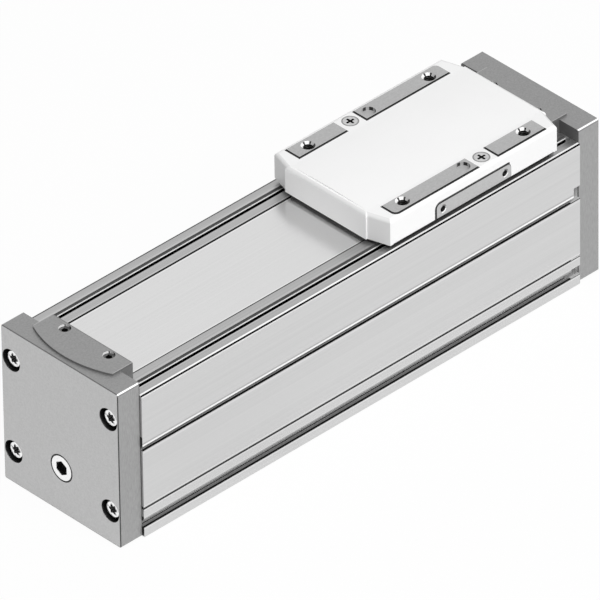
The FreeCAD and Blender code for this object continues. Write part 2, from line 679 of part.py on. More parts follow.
def nose_pad(section):
    """The pad's plan: straight back and sides, and a round front."""
    back = f"nose_reach - {END}"
    side = f"nose_reach - nose_depth - {END}"
    half = size("nose_width") / 2
    side_x = size("nose_reach") - size("nose_depth") - size("profile_length") / 2
    bulge = size("nose_bulge")
    radius = (half ** 2 + bulge ** 2) / (2 * bulge)
    centre = Vector(side_x - bulge + radius, 0, 0)
    spread = math.atan2(half, side_x - centre.x)
    back_x = side_x + size("nose_depth")
    lines = [
        (Vector(side_x, -half, 0), Vector(back_x, -half, 0)),
        (Vector(back_x, -half, 0), Vector(back_x, half, 0)),
        (Vector(back_x, half, 0), Vector(side_x, half, 0)),
    ]
    for start, end in lines:
        section.addGeometry(Part.LineSegment(start, end), False)
    circle = Part.Circle(centre, Vector(0, 0, 1), radius)
    section.addGeometry(Part.ArcOfCircle(circle, spread, 2 * math.pi - spread), False)
    for first, second in ((0, 1), (1, 2)):
        section.addConstraint(Sketcher.Constraint("Coincident", first, 2, second, 1))
    section.addConstraint(Sketcher.Constraint("Coincident", 2, 2, 3, 1))
    section.addConstraint(Sketcher.Constraint("Coincident", 3, 2, 0, 1))
    tie_point(section, 0, 1, side, "-nose_width / 2")
    tie_point(section, 1, 1, back, "-nose_width / 2")
    tie_point(section, 2, 1, back, "nose_width / 2")
    tie_point(section, 3, 1, side, "nose_width / 2")
    mark = section.addConstraint(Sketcher.Constraint("Radius", 3, radius))
    tie(section, f"Constraints[{mark}]",
        "((nose_width / 2) ^ 2 + nose_bulge ^ 2) / (2 * nose_bulge)")
    return section


def make_cap(side, far):
    body = doc.addObject("PartDesign::Body", side.capitalize() + "Cap")
    plate = cap_outline(sketch(body, side + "_cap_section", "YZ_Plane", f"-{CAP_FACE}"))
    blank = pad(body, plate, "cap_thickness")
    face = size("profile_length") / 2 + size("cap_thickness")
    chamfer(body, side + "_cap_rim", blank, "cap_rim", lambda point, way: near(point.x, -face))
    top = nose_pad(sketch(body, side + "_nose_pad", "XY_Plane", "cap_height - 1"))
    raised = pad(body, top, "nose_rise + 1")
    corner = size("nose_reach") - size("nose_depth") - size("profile_length") / 2
    fillet(body, side + "_nose_corners", raised, "nose_round", lambda point, way: (
        abs(way.z) > 0.99 and near(point.x, corner)))
    inner = f"nose_reach - {END}"
    under = "profile_height + seat_gap"
    nose = rectangle(sketch(body, side + "_nose", "XY_Plane", under), f"-{END} - 1", inner,
                     "-nose_width / 2", "nose_width / 2")
    pad(body, nose, f"cap_height - ({under})")
    plate_room = rectangle(sketch(body, side + "_plate_room", "XY_Plane", "profile_height"),
                           f"-{END}", f"{inner} + 1",
                           "-(strip_width / 2 + seat_gap)", "strip_width / 2 + seat_gap")
    pocket(body, plate_room, "clamp_plate_thickness + 2 * seat_gap", backwards=True)
    holes = sketch(body, side + "_set_screw_holes", "XY_Plane", "cap_height")
    for across in ("-set_screw_y", "set_screw_y"):
        ring(holes, f"set_screw_x - {END}", across, "set_screw_d / 2 + thread_gap")
    pocket(body, holes, both_ways=True)
    make_cap_holes(body, side)
    return node(half_turn(body, far), side + "_end_cap")


def make_cap_holes(body, side):
    shanks = sketch(body, side + "_screw_holes", "YZ_Plane", f"-{CAP_FACE}")
    heads = sketch(body, side + "_screw_recesses", "YZ_Plane", f"-{CAP_FACE}")
    for across in ("-screw_y", "screw_y"):
        for level in ("screw_low_z", "screw_high_z"):
            ring(shanks, across, level, "cap_screw_d / 2 + 5 * thread_gap")
            ring(heads, across, level, "cap_recess_d / 2")
    ring(shanks, "0", "plug_z", "tension_d / 2 + 5 * thread_gap")
    pocket(body, shanks, "cap_thickness", backwards=True)
    pocket(body, heads, "cap_recess_depth", backwards=True)
    mouth = ring(sketch(body, side + "_plug_hole", "YZ_Plane", f"-{CAP_FACE}"), "0", "plug_z",
                 "plug_d / 2 + plug_gap")
    pocket(body, mouth, "plug_length", backwards=True)
    room = ring(sketch(body, side + "_head_room", "YZ_Plane", f"-{CAP_FACE}"), "0", "plug_z",
                "tension_head_d / 2 + plug_gap")
    pocket(body, room, "cap_thickness - tension_web", backwards=True)


def socket_screw(name, axis, across, head, shank, socket):
    """Head and shank, each (diameter, start, end); socket (across flats, start, end)."""
    parts = [rod(name + "_head", axis, f"({head[0]}) / 2", head[1], head[2], across),
             rod(name + "_shank", axis, f"({shank[0]}) / 2", shank[1], shank[2], across)]
    drive = hexagon(name + "_socket", axis, socket[0], socket[1], socket[2], across)
    return cut(name, fuse(name + "_blank", parts), [drive])


def make_cap_screws(side, far):
    face = f"-{CAP_FACE} + cap_recess_depth"
    crown = f"{face} - cap_head_height"
    tip = f"-{END} + cap_screw_grip"
    screws = []
    for row, level in (("low", "screw_low_z"), ("high", "screw_high_z")):
        for column, across in (("right", "-screw_y"), ("left", "screw_y")):
            screws.append(socket_screw(
                f"{side}_{row}_{column}_screw", "x", (across, level), ("cap_head_d", crown, face),
                ("cap_screw_d", face, tip), ("cap_socket", crown, f"{crown} + cap_head_height / 2")))
    return node(half_turn(group(side + "_screws", screws), far), side + "_cap_screws")


def make_plug(side, far):
    start = f"-{CAP_FACE}"
    body = rod(side + "_plug_body", "x", "plug_d / 2", start, f"{start} + plug_length - seat_gap",
               ("0", "plug_z"))
    drive = hexagon(side + "_plug_socket", "x", "plug_socket", start,
                    f"{start} + plug_length * 0.75", ("0", "plug_z"))
    return node(half_turn(cut(side + "_plug", body, [drive]), far), side + "_screw_plug")


def make_strip_clamp(side, far):
    under = "profile_height"
    plate = block(side + "_clamp_plate", (f"seat_gap - {END}", f"nose_reach - seat_gap - {END}"),
                  ("-strip_width / 2", "strip_width / 2"),
                  (under, f"{under} + clamp_plate_thickness"))
    node(half_turn(plate_copy(side + "_clamp", plate), far), side + "_strip_clamp")
    screws = []
    low = f"{under} + clamp_plate_thickness"
    top = "cap_height + nose_rise - set_screw_sink"
    for name, across in (("right", "-set_screw_y"), ("left", "set_screw_y")):
        spot = (f"set_screw_x - {END}", across)
        body = rod(f"{side}_{name}_set_body", "z", "set_screw_d / 2", low, top, spot)
        drive = hexagon(f"{side}_{name}_set_socket", "z", "set_screw_socket",
                        f"({low}) * 0.4 + ({top}) * 0.6", top, spot)
        screws.append(cut(f"{side}_{name}_set_screw", body, [drive]))
    return node(half_turn(group(side + "_set_screws", screws), far), side + "_clamp_screws")


def plate_copy(name, plate):
    """One solid in a group, so that the whole can be turned as a piece."""
    return group(name, [plate])


def s_curve(level, first, last, low, high, rise):
    """Two tangent arcs from one height to another, at an offset from the middle line."""
    run = abs(last - first)
    lift = high - low
    radius = (run ** 2 + lift ** 2) / (4 * lift)
    way = 1 if last > first else -1
    turn = math.asin(run / 2 / radius)
    start, end = (first, last) if rise else (last, first)
    away = way if rise else -way

    def bottom(angle):
        return Vector(start + away * (radius - level) * math.sin(angle), 0,
                      low + radius - (radius - level) * math.cos(angle))

    def top(angle):
        return Vector(end - away * (radius + level) * math.sin(angle), 0,
                      high - radius + (radius + level) * math.cos(angle))

    first_arc = [bottom(0), bottom(turn / 2), bottom(turn)]
    second_arc = [top(turn), top(turn / 2), top(0)]
    return [first_arc, second_arc] if rise else [second_arc[::-1], first_arc[::-1]]


def strip_edge(level):
    """The strip's path from the near to the far end, moved out from its middle line."""
    reach = size("profile_length") / 2 - size("seat_gap")
    middle = size("slide_rest")
    inner = size("strip_high_half")
    outer = inner + size("strip_ramp")
    low = size("profile_height") - size("seat_gap") - size("strip_thickness") / 2
    high = low + size("strip_lift")
    up = s_curve(level, middle - outer, middle - inner, low, high, True)
    down = s_curve(level, middle + inner, middle + outer, low, high, False)
    near_end = Vector(-reach, 0, low + level)
    far_end = Vector(reach, 0, low + level)
    edges = [Part.makeLine(near_end, up[0][0])]
    edges += [Part.Arc(*arc).toShape() for arc in up]
    edges.append(Part.makeLine(up[1][2], down[0][0]))
    edges += [Part.Arc(*arc).toShape() for arc in down]
    edges.append(Part.makeLine(down[1][2], far_end))
    return edges, near_end, far_end


def make_strip():
    upper, upper_near, upper_far = strip_edge(size("strip_thickness") / 2)
    lower, lower_near, lower_far = strip_edge(-size("strip_thickness") / 2)
    ends = [Part.makeLine(upper_near, lower_near), Part.makeLine(upper_far, lower_far)]
    face = Part.Face(Part.Wire(Part.__sortEdges__(upper + lower + ends)))
    item = doc.addObject("Part::Feature", "Strip")
    solid = face.extrude(Vector(0, size("strip_width"), 0))
    solid.translate(Vector(0, -size("strip_width") / 2, 0))
    item.Shape = solid
    return node(item, "cover_strip")


def make_magnets():
    bars = []
    top = STRIP_SEAT
    for name, side in (("right", "-"), ("left", "")):
        bars.append(block(f"{name}_magnet", (f"seat_gap - {END}", f"{END} - seat_gap"),
                          (f"{side}magnet_y - magnet_width / 2", f"{side}magnet_y + magnet_width / 2"),
                          (f"{top} - magnet_height", top)))
    return node(group("magnets", bars), "strip_magnets")


def rail_spots():
    """Places of the rail's screws along X: as many as its length holds, about its middle."""
    room = size("rail_half") - size("rail_screw_inset")
    count = 1 + int(2 * room / size("rail_pitch"))
    return [f"{number - (count - 1) / 2} * rail_pitch" for number in range(count)]


def rail_section(section, gap, foot):
    """Rail outline with its ball tracks, grown by a gap; foot is its lowest height."""
    half = f"(rail_width / 2 + {gap})"
    waist = f"(rail_width / 2 - rail_notch + {gap})"
    base = "cavity_floor"
    top = f"{base} + rail_height + {gap}"
    points = [(half, foot), (half, f"{base} + rail_height * 0.35"),
              (waist, f"{base} + rail_height * 0.45"), (waist, f"{base} + rail_height * 0.65"),
              (half, f"{base} + rail_height * 0.75"), (half, top)]
    return outline(section, points + [(f"-{x}", z) for x, z in reversed(points)])


def make_rail():
    body = doc.addObject("PartDesign::Body", "Rail")
    section = rail_section(sketch(body, "rail_profile", "YZ_Plane"), "0", "cavity_floor")
    pad(body, section, "rail_half * 2", both_ways=True)
    top = "cavity_floor + rail_height"
    holes = sketch(body, "rail_holes", "XY_Plane", top)
    heads = sketch(body, "rail_heads", "XY_Plane", top)
    for spot in rail_spots():
        ring(holes, spot, "0", "rail_screw_d / 2 + 5 * thread_gap")
        ring(heads, spot, "0", "rail_screw_d * 0.94")
    pocket(body, holes)
    pocket(body, heads, "rail_screw_d * 1.3")
    return node(body, "guide_rail")


def make_rail_screws():
    top = "(cavity_floor + rail_height - rail_screw_d * 0.2)"
    seat = "(cavity_floor + rail_height - rail_screw_d * 1.3)"
    screws = []
    for number, spot in enumerate(rail_spots()):
        screws.append(socket_screw(
            f"rail_screw_{number}", "z", (spot, "0"),
            ("rail_screw_d * 1.75", seat, top), ("rail_screw_d", "cavity_floor * 0.3", seat),
            ("rail_screw_d * 0.75", f"{top} - rail_screw_d / 2", top)))
    return node(group("rail_screw_set", screws), "rail_screws")


def runner_section(section, top):
    """Saddle that reaches down both sides of the rail."""
    half = "runner_width / 2"
    foot = "cavity_floor + runner_clear"
    waist = "(rail_width / 2 - rail_notch + track_gap)"
    inner = "(rail_width / 2 + track_gap)"
    roof = "cavity_floor + rail_height + track_gap"
    right = [(half, top), (half, foot), (inner, foot),
             (inner, "cavity_floor + rail_height * 0.35 + track_gap"),
             (waist, "cavity_floor + rail_height * 0.45 + track_gap"),
             (waist, "cavity_floor + rail_height * 0.65 - track_gap"),
             (inner, "cavity_floor + rail_height * 0.75 - track_gap"), (inner, roof)]
    return outline(section, right + [(f"-{x}", z) for x, z in reversed(right)])


def make_runner():
    body = doc.addObject("PartDesign::Body", "Runner")
    section = runner_section(sketch(body, "runner_profile", "YZ_Plane", "slide_rest"), "runner_roof")
    pad(body, section, "runner_length", both_ways=True)
    holes = sketch(body, "runner_threads", "XY_Plane", "runner_roof")
    for x in ("- runner_hole", "+ runner_hole"):
        for y in ("-runner_hole", "runner_hole"):
            ring(holes, f"slide_rest {x}", y, "runner_screw_d / 2 + thread_gap")
    pocket(body, holes, "runner_screw_d * 1.75")
    return node(body, "runner_block")


def make_runner_ends():
    ends = []
    for name, side in (("near", "-1"), ("far", "1")):
        body = doc.addObject("PartDesign::Body", f"Runner{name.capitalize()}End")
        middle = f"slide_rest + {side} * (runner_length + runner_end) / 2"
        section = runner_section(sketch(body, f"runner_{name}_end", "YZ_Plane", middle),
                                 f"runner_roof - 2 * slide_gap")
        pad(body, section, "runner_end", both_ways=True)
        ends.append(body)
    return node(group("runner_ends", ends), "runner_end_plates")


def make_yoke():
    """Foot on the runner, shelves for the belt clamps, and a stem through the top slot."""
    body = doc.addObject("PartDesign::Body", "Yoke")
    half = "yoke_width / 2"
    tunnel = "belt_width / 2 + 5 * slide_gap"
    tunnel_top = f"pulley_z - {BELT_TIP_R} + 3 * slide_gap"
    roof = f"cavity_top - yoke_roof_gap"
    low = [(half, "yoke_step_z"), (half, "runner_roof"), (tunnel, "runner_roof"), (tunnel, tunnel_top)]
    foot = outline(sketch(body, "yoke_foot", "YZ_Plane", "slide_rest"),
                   low + [(f"-({y})", z) for y, z in reversed(low)])
    pad(body, foot, "yoke_half * 2", both_ways=True)
    slim = "(top_slot_width / 2 - 2 * slide_gap)"
    high = [(slim, "body_bottom"), (slim, roof), (half, roof), (half, "yoke_step_z - 1")]
    stem = outline(sketch(body, "yoke_stem", "YZ_Plane", "slide_rest"),
                   high + [(f"-{y}", z) for y, z in reversed(high)])
    pad(body, stem, "stem_half * 2", both_ways=True)
    bores = sketch(body, "runner_screw_bores", "XY_Plane", "body_bottom")
    holes = sketch(body, "runner_screw_holes", "XY_Plane", "body_bottom")
    for x in ("- runner_hole", "+ runner_hole"):
        for y in ("-runner_hole", "runner_hole"):
            ring(bores, f"slide_rest {x}", y, "runner_screw_d * 0.95")
            ring(holes, f"slide_rest {x}", y, "runner_screw_d / 2 + 5 * thread_gap")
    pocket(body, bores, f"body_bottom - ({tunnel_top} + runner_screw_d)")
    pocket(body, holes, f"body_bottom - runner_roof")
    threads = sketch(body, "body_screw_threads", "XY_Plane", "body_bottom")
    for x, y in BODY_SCREWS:
        ring(threads, x, y, "body_screw_d / 2 + thread_gap")
    pocket(body, threads, "body_screw_d * 2")
    taps = sketch(body, "clamp_screw_threads", "XY_Plane", "yoke_step_z")
    for x in ("-", "+"):
        for y in ("-clamp_screw_y", "clamp_screw_y"):
            ring(taps, f"slide_rest {x} (stem_half + yoke_half) / 2", y,
                 "clamp_screw_d / 2 + thread_gap")
    pocket(body, taps, "clamp_screw_d * 2.5")
    return node(body, "carriage_yoke")


BODY_SCREWS = (("slide_rest", "body_screw_x"), ("slide_rest", "-body_screw_x"),
               ("slide_rest + body_screw_x", "0"), ("slide_rest - body_screw_x", "0"))


def make_yoke_screws():
    seat = f"(pulley_z - {BELT_TIP_R} + 3 * slide_gap + runner_screw_d)"
    top = f"({seat} + runner_screw_d)"
    screws = []
    for row, x in enumerate(("- runner_hole", "+ runner_hole")):
        for column, y in enumerate(("-runner_hole", "runner_hole")):
            screws.append(socket_screw(
                f"yoke_screw_{row}{column}", "z", (f"slide_rest {x}", y),
                ("runner_screw_d * 1.75", seat, top),
                ("runner_screw_d", f"runner_roof - runner_screw_d * 1.5", seat),
                ("runner_screw_d * 0.75", f"{top} - runner_screw_d / 2", top)))
    return node(group("yoke_screw_set", screws), "yoke_screws")


def make_belt_clamp(side, way):
    """Block on the yoke's shelf whose slot holds one end of the belt."""
    inner = f"slide_rest {way} (stem_half + seat_gap)"
    outer = f"slide_rest {way} yoke_half"
    ends = (inner, outer) if way == "+" else (outer, inner)
    half = "belt_clamp_width / 2"
    top = f"cavity_top - yoke_roof_gap"
    base = block(side + "_clamp_block", ends, (f"-{half}", half), ("yoke_step_z", top))
    room = "belt_width / 2 + belt_clamp_gap"
    slot = block(side + "_clamp_slot", (f"{ends[0]} - 1", f"{ends[1]} + 1"), (f"-({room})", room),
                 (f"pulley_z + {BELT_TIP_R} - belt_clamp_gap",
                  f"pulley_z + belt_reach + belt_clamp_gap"))
    spot = f"slide_rest {way} (stem_half + yoke_half) / 2"
    holes = []
    screws = []
    seat = f"({top} - clamp_screw_d)"
    for name, y in (("right", "-clamp_screw_y"), ("left", "clamp_screw_y")):
        holes.append(rod(f"{side}_{name}_clamp_hole", "z", "clamp_screw_d / 2 + thread_gap",
                         "yoke_step_z - 1", top, (spot, y)))
        holes.append(rod(f"{side}_{name}_clamp_recess", "z", "clamp_screw_d * 0.92 + seat_gap",
                         seat, f"{top} + 1", (spot, y)))
        screws.append(socket_screw(
            f"{side}_{name}_clamp_screw", "z", (spot, y), ("clamp_screw_d * 1.84", seat, top),
            ("clamp_screw_d", "yoke_step_z - clamp_screw_d * 2", seat),
            ("clamp_screw_d * 0.8", f"{top} - clamp_screw_d / 2", top)))
    node(cut(side + "_belt_holder", base, [slot] + holes), side + "_belt_clamp")
    return screws


def pulley_blank(body, name, steps, bore):
    """Turned blank about Y: steps are (radius, from, to) along the axis."""
    for number, (radius, start, end) in enumerate(steps):
        section = ring(sketch(body, f"{name}_step_{number}", "XZ_Plane", f"-({start})"), "0", "0",
                       radius)
        pad(body, section, f"({end}) - ({start})", backwards=True)
    hole = ring(sketch(body, f"{name}_bore", "XZ_Plane"), "0", "0", bore)
    pocket(body, hole, both_ways=True)


def cut_teeth(body, name):
    """Gaps that the belt's teeth sink into, the first one at the top."""
    root = f"({BELT_TIP_R} - mesh_gap)"
    top = f"(pitch_radius - belt_pitch_depth)"
    narrow = "(tooth_tip / 2 + mesh_gap)"
    wide = "(tooth_root / 2 + mesh_gap)"
    gap = outline(sketch(body, name + "_tooth_gap", "XZ_Plane"), [
        (f"-{narrow}", root), (narrow, root), (wide, top), (f"-{wide}", top)])
    first = pocket(body, gap, "pulley_face", both_ways=True)
    pattern = body.newObject("PartDesign::PolarPattern", name + "_teeth")
    pattern.Originals = [first]
    pattern.Axis = (origin_plane(body, "Y_Axis"), [""])
    pattern.Angle = 360
    pattern.Occurrences = int(size("pulley_teeth"))
    body.Tip = pattern


def drum_steps():
    face = "pulley_face / 2"
    rim = "pulley_face / 2 + flange_thickness"
    return [("drum_radius", f"-({face})", face), ("flange_radius", face, rim),
            ("flange_radius", f"-({rim})", f"-({face})")]


def make_drive_pulley():
    body = doc.addObject("PartDesign::Body", "DrivePulley")
    rim = "pulley_face / 2 + flange_thickness"
    steps = drum_steps() + [("bearing_bore / 2", rim, "shaft_reach"),
                            ("bearing_bore / 2", "-shaft_back", f"-({rim})")]
    pulley_blank(body, "drive_pulley", steps, "shaft_bore / 2")
    cut_teeth(body, "drive_pulley")
    put(body, PULLEY_X, "0", "pulley_z")
    return node(body, "drive_pulley")


def make_idler_pulley():
    """The idler is turned so that its gaps meet the belt's teeth."""
    body = doc.addObject("PartDesign::Body", "IdlerPulley")
    pulley_blank(body, "idler_pulley", drum_steps(), "idler_bearing_d / 2 + shaft_gap")
    cut_teeth(body, "idler_pulley")
    radius = size("pitch_radius")
    axis_x = size("profile_length") / 2 - size("pulley_inset")
    passed = math.pi * radius + 2 * axis_x
    beyond = -passed % size("pitch")
    turn = 180 + math.degrees(beyond / radius)
    body.Placement = Placement(Vector(-axis_x, 0, size("pulley_z")), Rotation(Vector(0, 1, 0), turn))
    return node(body, "idler_pulley")


def belt_place(distance, level):
    """Point of the belt's path at a distance from the drive pulley's top, moved out by a level."""
    radius = size("pitch_radius")
    axis_x = size("profile_length") / 2 - size("pulley_inset")
    height = size("pulley_z")
    wrap = math.pi * radius
    run = 2 * axis_x
    reach = radius + level
    if distance < 0:
        return Vector(axis_x + distance, 0, height + reach)
    if distance < wrap:
        angle = distance / radius
        return Vector(axis_x + reach * math.sin(angle), 0, height + reach * math.cos(angle))
    if distance < wrap + run:
        return Vector(axis_x - (distance - wrap), 0, height - reach)
    if distance < 2 * wrap + run:
        angle = (distance - wrap - run) / radius
        return Vector(-axis_x - reach * math.sin(angle), 0, height - reach * math.cos(angle))
    return Vector(-axis_x + (distance - 2 * wrap - run), 0, height + reach)


def belt_edge(start, end, level):
    """Edges along the belt's path between two distances, at one level."""
    radius = size("pitch_radius")
    wrap = math.pi * radius
    run = size("profile_length") - 2 * size("pulley_inset")
    marks = [start] + [m for m in (0, wrap, wrap + run, 2 * wrap + run) if start < m < end] + [end]
    edges = []
    for first, last in zip(marks, marks[1:]):
        middle = (first + last) / 2
        on_drive = 0 < middle < wrap
        on_idler = wrap + run < middle < 2 * wrap + run
        if on_drive or on_idler:
            edges.append(Part.Arc(belt_place(first, level), belt_place(middle, level),
                                  belt_place(last, level)).toShape())
        else:
            edges.append(Part.makeLine(belt_place(first, level), belt_place(last, level)))
    return edges


def make_belt():
    """Open-ended belt: both ends are held in the clamps on the yoke."""
    pitch = size("pitch")
    axis_x = size("profile_length") / 2 - size("pulley_inset")
    total = 2 * math.pi * size("pitch_radius") + 4 * axis_x
    hold = size("stem_half") + 1.0
    start = size("slide_rest") + hold - axis_x
    end = total + size("slide_rest") - hold - axis_x
    root = -size("belt_pitch_depth")
    back = root + size("belt_back")
    tip = root - size("tooth_height")
    foot = size("tooth_root") / 2
    crest = size("tooth_tip") / 2
    edges = belt_edge(start, end, back)
    place = start
    number = math.ceil((start + foot + 0.2) / pitch)
    while number * pitch + foot + 0.2 < end:
        centre = number * pitch
        edges += belt_edge(place, centre - foot, root)
        corners = [belt_place(centre - foot, root), belt_place(centre - crest, tip),
                   belt_place(centre + crest, tip), belt_place(centre + foot, root)]
        edges += [Part.makeLine(a, b) for a, b in zip(corners, corners[1:])]
        place = centre + foot
        number += 1
    edges += belt_edge(place, end, root)
    edges.append(Part.makeLine(belt_place(start, back), belt_place(start, root)))
    edges.append(Part.makeLine(belt_place(end, back), belt_place(end, root)))
    face = Part.Face(Part.Wire(Part.__sortEdges__(edges)))
    solid = face.extrude(Vector(0, size("belt_width"), 0))
    solid.translate(Vector(0, -size("belt_width") / 2, 0))
    item = doc.addObject("Part::Feature", "Belt")
    item.Shape = solid
    return node(item, "toothed_belt")


def make_drive_block():
    """Two cheeks on a foot; the pulley turns between the cheeks."""
    face = "block_reach"
    back = f"{END} - seat_gap"
    base = block("drive_block_blank", (face, back), (f"-{BLOCK_OUT}", BLOCK_OUT),
                 ("cavity_floor", f"cavity_top - block_side_gap"))
    slot = block("drive_block_slot", (f"{face} - 1", f"{back} + 1"), (f"-{BLOCK_IN}", BLOCK_IN),
                 ("block_saddle_z", f"cavity_top + 1"))
    axis = (PULLEY_X, "pulley_z")
    tools = [slot]
    for name, near_y, far_y in (("right", f"-{BLOCK_OUT} - 1", f"-({BLOCK_IN} + bearing_lip)"),
                                ("left", f"{BLOCK_IN} + bearing_lip", f"{BLOCK_OUT} + 1")):
        tools.append(rod(f"drive_{name}_seat", "y", "bearing_d / 2 + shaft_gap", near_y, far_y, axis))
    tools.append(rod("drive_shaft_room", "y", "bearing_bore / 2 + bearing_lip",
                     f"-{BLOCK_OUT}", BLOCK_OUT, axis))
    for side in ("-", "+"):
        for number, y in enumerate(("-block_screw_y", "block_screw_y")):
            tools.append(rod(f"drive_thread_{number}{'ab'[side == '+']}", "z",
                             "block_screw_d / 2 + thread_gap", "cavity_floor - 1",
                             "cavity_floor + block_screw_d * 2.4",
                             (f"{PULLEY_X} {side} block_screw_x", y)))
    return node(cut("drive_block_body", base, tools), "drive_block")


def make_block_screws():
    seat = "(cavity_floor / 2)"
    screws = []
    for side in ("-", "+"):
        for number, y in enumerate(("-block_screw_y", "block_screw_y")):
            name = f"block_screw_{number}{'ab'[side == '+']}"
            screws.append(socket_screw(
                name, "z", (f"{PULLEY_X} {side} block_screw_x", y),
                ("block_screw_d * 1.7", f"{seat} - block_screw_d * 0.8", seat),
                ("block_screw_d", seat, "cavity_floor + block_screw_d * 2"),
                ("block_screw_d * 0.8", f"{seat} - block_screw_d * 0.8",
                 f"{seat} - block_screw_d * 0.3")))
    return node(group("block_screw_set", screws), "drive_block_screws")


def turned_ring(name, inner, outer, start, end, axis):
    solid = rod(name + "_disc", "y", outer, start, end, axis)
    hole = rod(name + "_hole", "y", inner, f"({start}) - 1", f"({end}) + 1", axis)
    return cut(name, solid, [hole])


def bearing(name, bore, outer_d, start, end, axis):
    """Outer ring with its shields, and the inner ring that turns in it."""
    step = f"(({outer_d}) - ({bore})) / 12"
    split = f"({bore}) / 2 + 2 * {step}"
    outer = turned_ring(name + "_outer", f"{split} + ball_gap", f"({outer_d}) / 2", start, end, axis)
    inner = turned_ring(name + "_inner", f"({bore}) / 2 + shaft_gap", split, start, end, axis)
    return outer, inner


def make_drive_bearings():
    axis = (PULLEY_X, "pulley_z")
    seat = f"({BLOCK_IN} + bearing_lip)"
    outers = []
    inners = []
    rings = []
    for name, side, start, end in (
            ("right", "-", f"-{seat} - bearing_width", f"-{seat}"),
            ("left", "", seat, f"{seat} + bearing_width")):
        outer, inner = bearing(f"drive_{name}_bearing", "bearing_bore", "bearing_d", start, end, axis)
        outers.append(outer)
        inners.append(inner)
        clip = (f"{seat} + bearing_width", f"{seat} + bearing_width + circlip_width")
        if side:
            clip = (f"-({clip[1]})", f"-({clip[0]})")
        rings.append(turned_ring(f"drive_{name}_clip", "bearing_d / 2 - bearing_lip",
                                 "bearing_d / 2", clip[0], clip[1], axis))
    node(group("drive_outer_rings", outers), "drive_bearings")
    node(group("drive_inner_rings", inners), "drive_bearing_inner_rings")
    return node(group("drive_clips", rings), "retaining_rings")


def make_idler_block():
    face = f"-({PULLEY_X} - idler_length / 2)"
    back = f"-({PULLEY_X} + idler_length / 2)"
    base = block("idler_block_blank", (back, face), (f"-{BLOCK_OUT}", BLOCK_OUT),
                 ("cavity_floor + seat_gap", f"cavity_top - block_side_gap"))
    slot = block("idler_block_slot", (f"{back} - 1", f"{face} + 1"), (f"-{BLOCK_IN}", BLOCK_IN),
                 ("block_saddle_z", f"cavity_top + 1"))
    axle = rod("idler_axle_hole", "y", "idler_axle_d / 2 + shaft_gap", f"-{BLOCK_OUT} - 1",
               f"{BLOCK_OUT} + 1", (f"-{PULLEY_X}", "pulley_z"))
    thread = rod("tension_thread", "x", "tension_d / 2 + thread_gap", f"{back} - 1", f"{face} + 1",
                 ("0", "plug_z"))
    node(cut("idler_block_body", base, [slot, axle, thread]), "idler_block")
    pin = rod("idler_pin", "y", "idler_axle_d / 2", f"seat_gap - {BLOCK_OUT}",
              f"{BLOCK_OUT} - seat_gap", (f"-{PULLEY_X}", "pulley_z"))
    return node(group("idler_axle_set", [pin]), "idler_axle")


def make_idler_bearings():
    axis = (f"-{PULLEY_X}", "pulley_z")
    inner_end = "idler_bearing_gap / 2"
    outer_end = "idler_bearing_gap / 2 + idler_bearing_width"
    outers = []
    inners = []
    for name, start, end in (("right", f"-({outer_end})", f"-({inner_end})"),
                             ("left", inner_end, outer_end)):
        outer, inner = bearing(f"idler_{name}_bearing", "idler_axle_d", "idler_bearing_d",
                               start, end, axis)
        outers.append(outer)
        inners.append(inner)
    wall = f"{BLOCK_IN} - seat_gap"
    reach = "idler_axle_d / 2 + (idler_bearing_d - idler_axle_d) / 8"
    bore = "idler_axle_d / 2 + shaft_gap"
    for name, start, end in (("right", f"-({wall})", f"-({outer_end})"), ("left", outer_end, wall)):
        inners.append(turned_ring(f"idler_{name}_spacer", bore, reach, start, end, axis))
    inners.append(turned_ring("idler_mid_spacer", bore, reach, f"-({inner_end})", inner_end, axis))
    node(group("idler_outer_rings", outers), "idler_bearings")
    return node(group("idler_inner_rings", inners), "idler_spacers_and_rings")


def make_tension_screw():
    seat = f"(-{END} - tension_web)"
    crown = f"({seat} - tension_head_height)"
    screw = socket_screw("tension_bolt", "x", ("0", "plug_z"), ("tension_head_d", crown, seat),
                         ("tension_d", seat, f"{seat} + tension_length"),
                         ("tension_d * 0.83", crown, f"{crown} + tension_head_height / 2"))
    return node(screw, "tension_screw")


def make_buffers():
    """Rubber stops on the faces of both blocks, just short of the yoke's last position."""
    stop = "(block_reach - buffer_length)"
    idler_face = f"({PULLEY_X} - idler_length / 2)"
    for side, start, end in (("far", stop, "block_reach"), ("near", f"-{idler_face}", f"-{stop}")):
        rods = [rod(f"{side}_{name}_buffer", "x", "buffer_d / 2", start, end, (y, "buffer_z"))
                for name, y in (("right", "-buffer_y"), ("left", "buffer_y"))]
        node(group(side + "_buffer_pair", rods), side + "_buffers")


def land_windows(section, grow):
    """The four lands' plan, point-symmetric about the slide's middle."""
    for side in ("-", ""):
        away = "" if side else "-"
        low = f"{side}land_inner {'+' if side else '-'} {grow}"
        high = f"{side}land_outer {'-' if side else '+'} {grow}"
        first = f"slide_rest {'-' if side else '+'} (land_end + {grow})"
        long_end = f"slide_rest {'+' if side else '-'} (land_long_end + {grow})"
        rectangle(section, first, long_end, low, high)
        start = f"slide_rest {'+' if side else '-'} (land_short_end - {grow})"
        last = f"slide_rest {'+' if side else '-'} (land_end + {grow})"
        rectangle(section, start, last, low, high)
    return section


def long_land_corner(grow):
    """Test for the upright edge at the outer corner of each long land."""
    middle = size("slide_rest")
    end = size("land_end") + grow
    side = size("land_outer") + grow

    def test(point, way):
        upright = abs(way.z) > 0.99
        first = near(point.x, middle - end) and near(point.y, -side)
        second = near(point.x, middle + end) and near(point.y, side)
        return upright and (first or second)

    return test


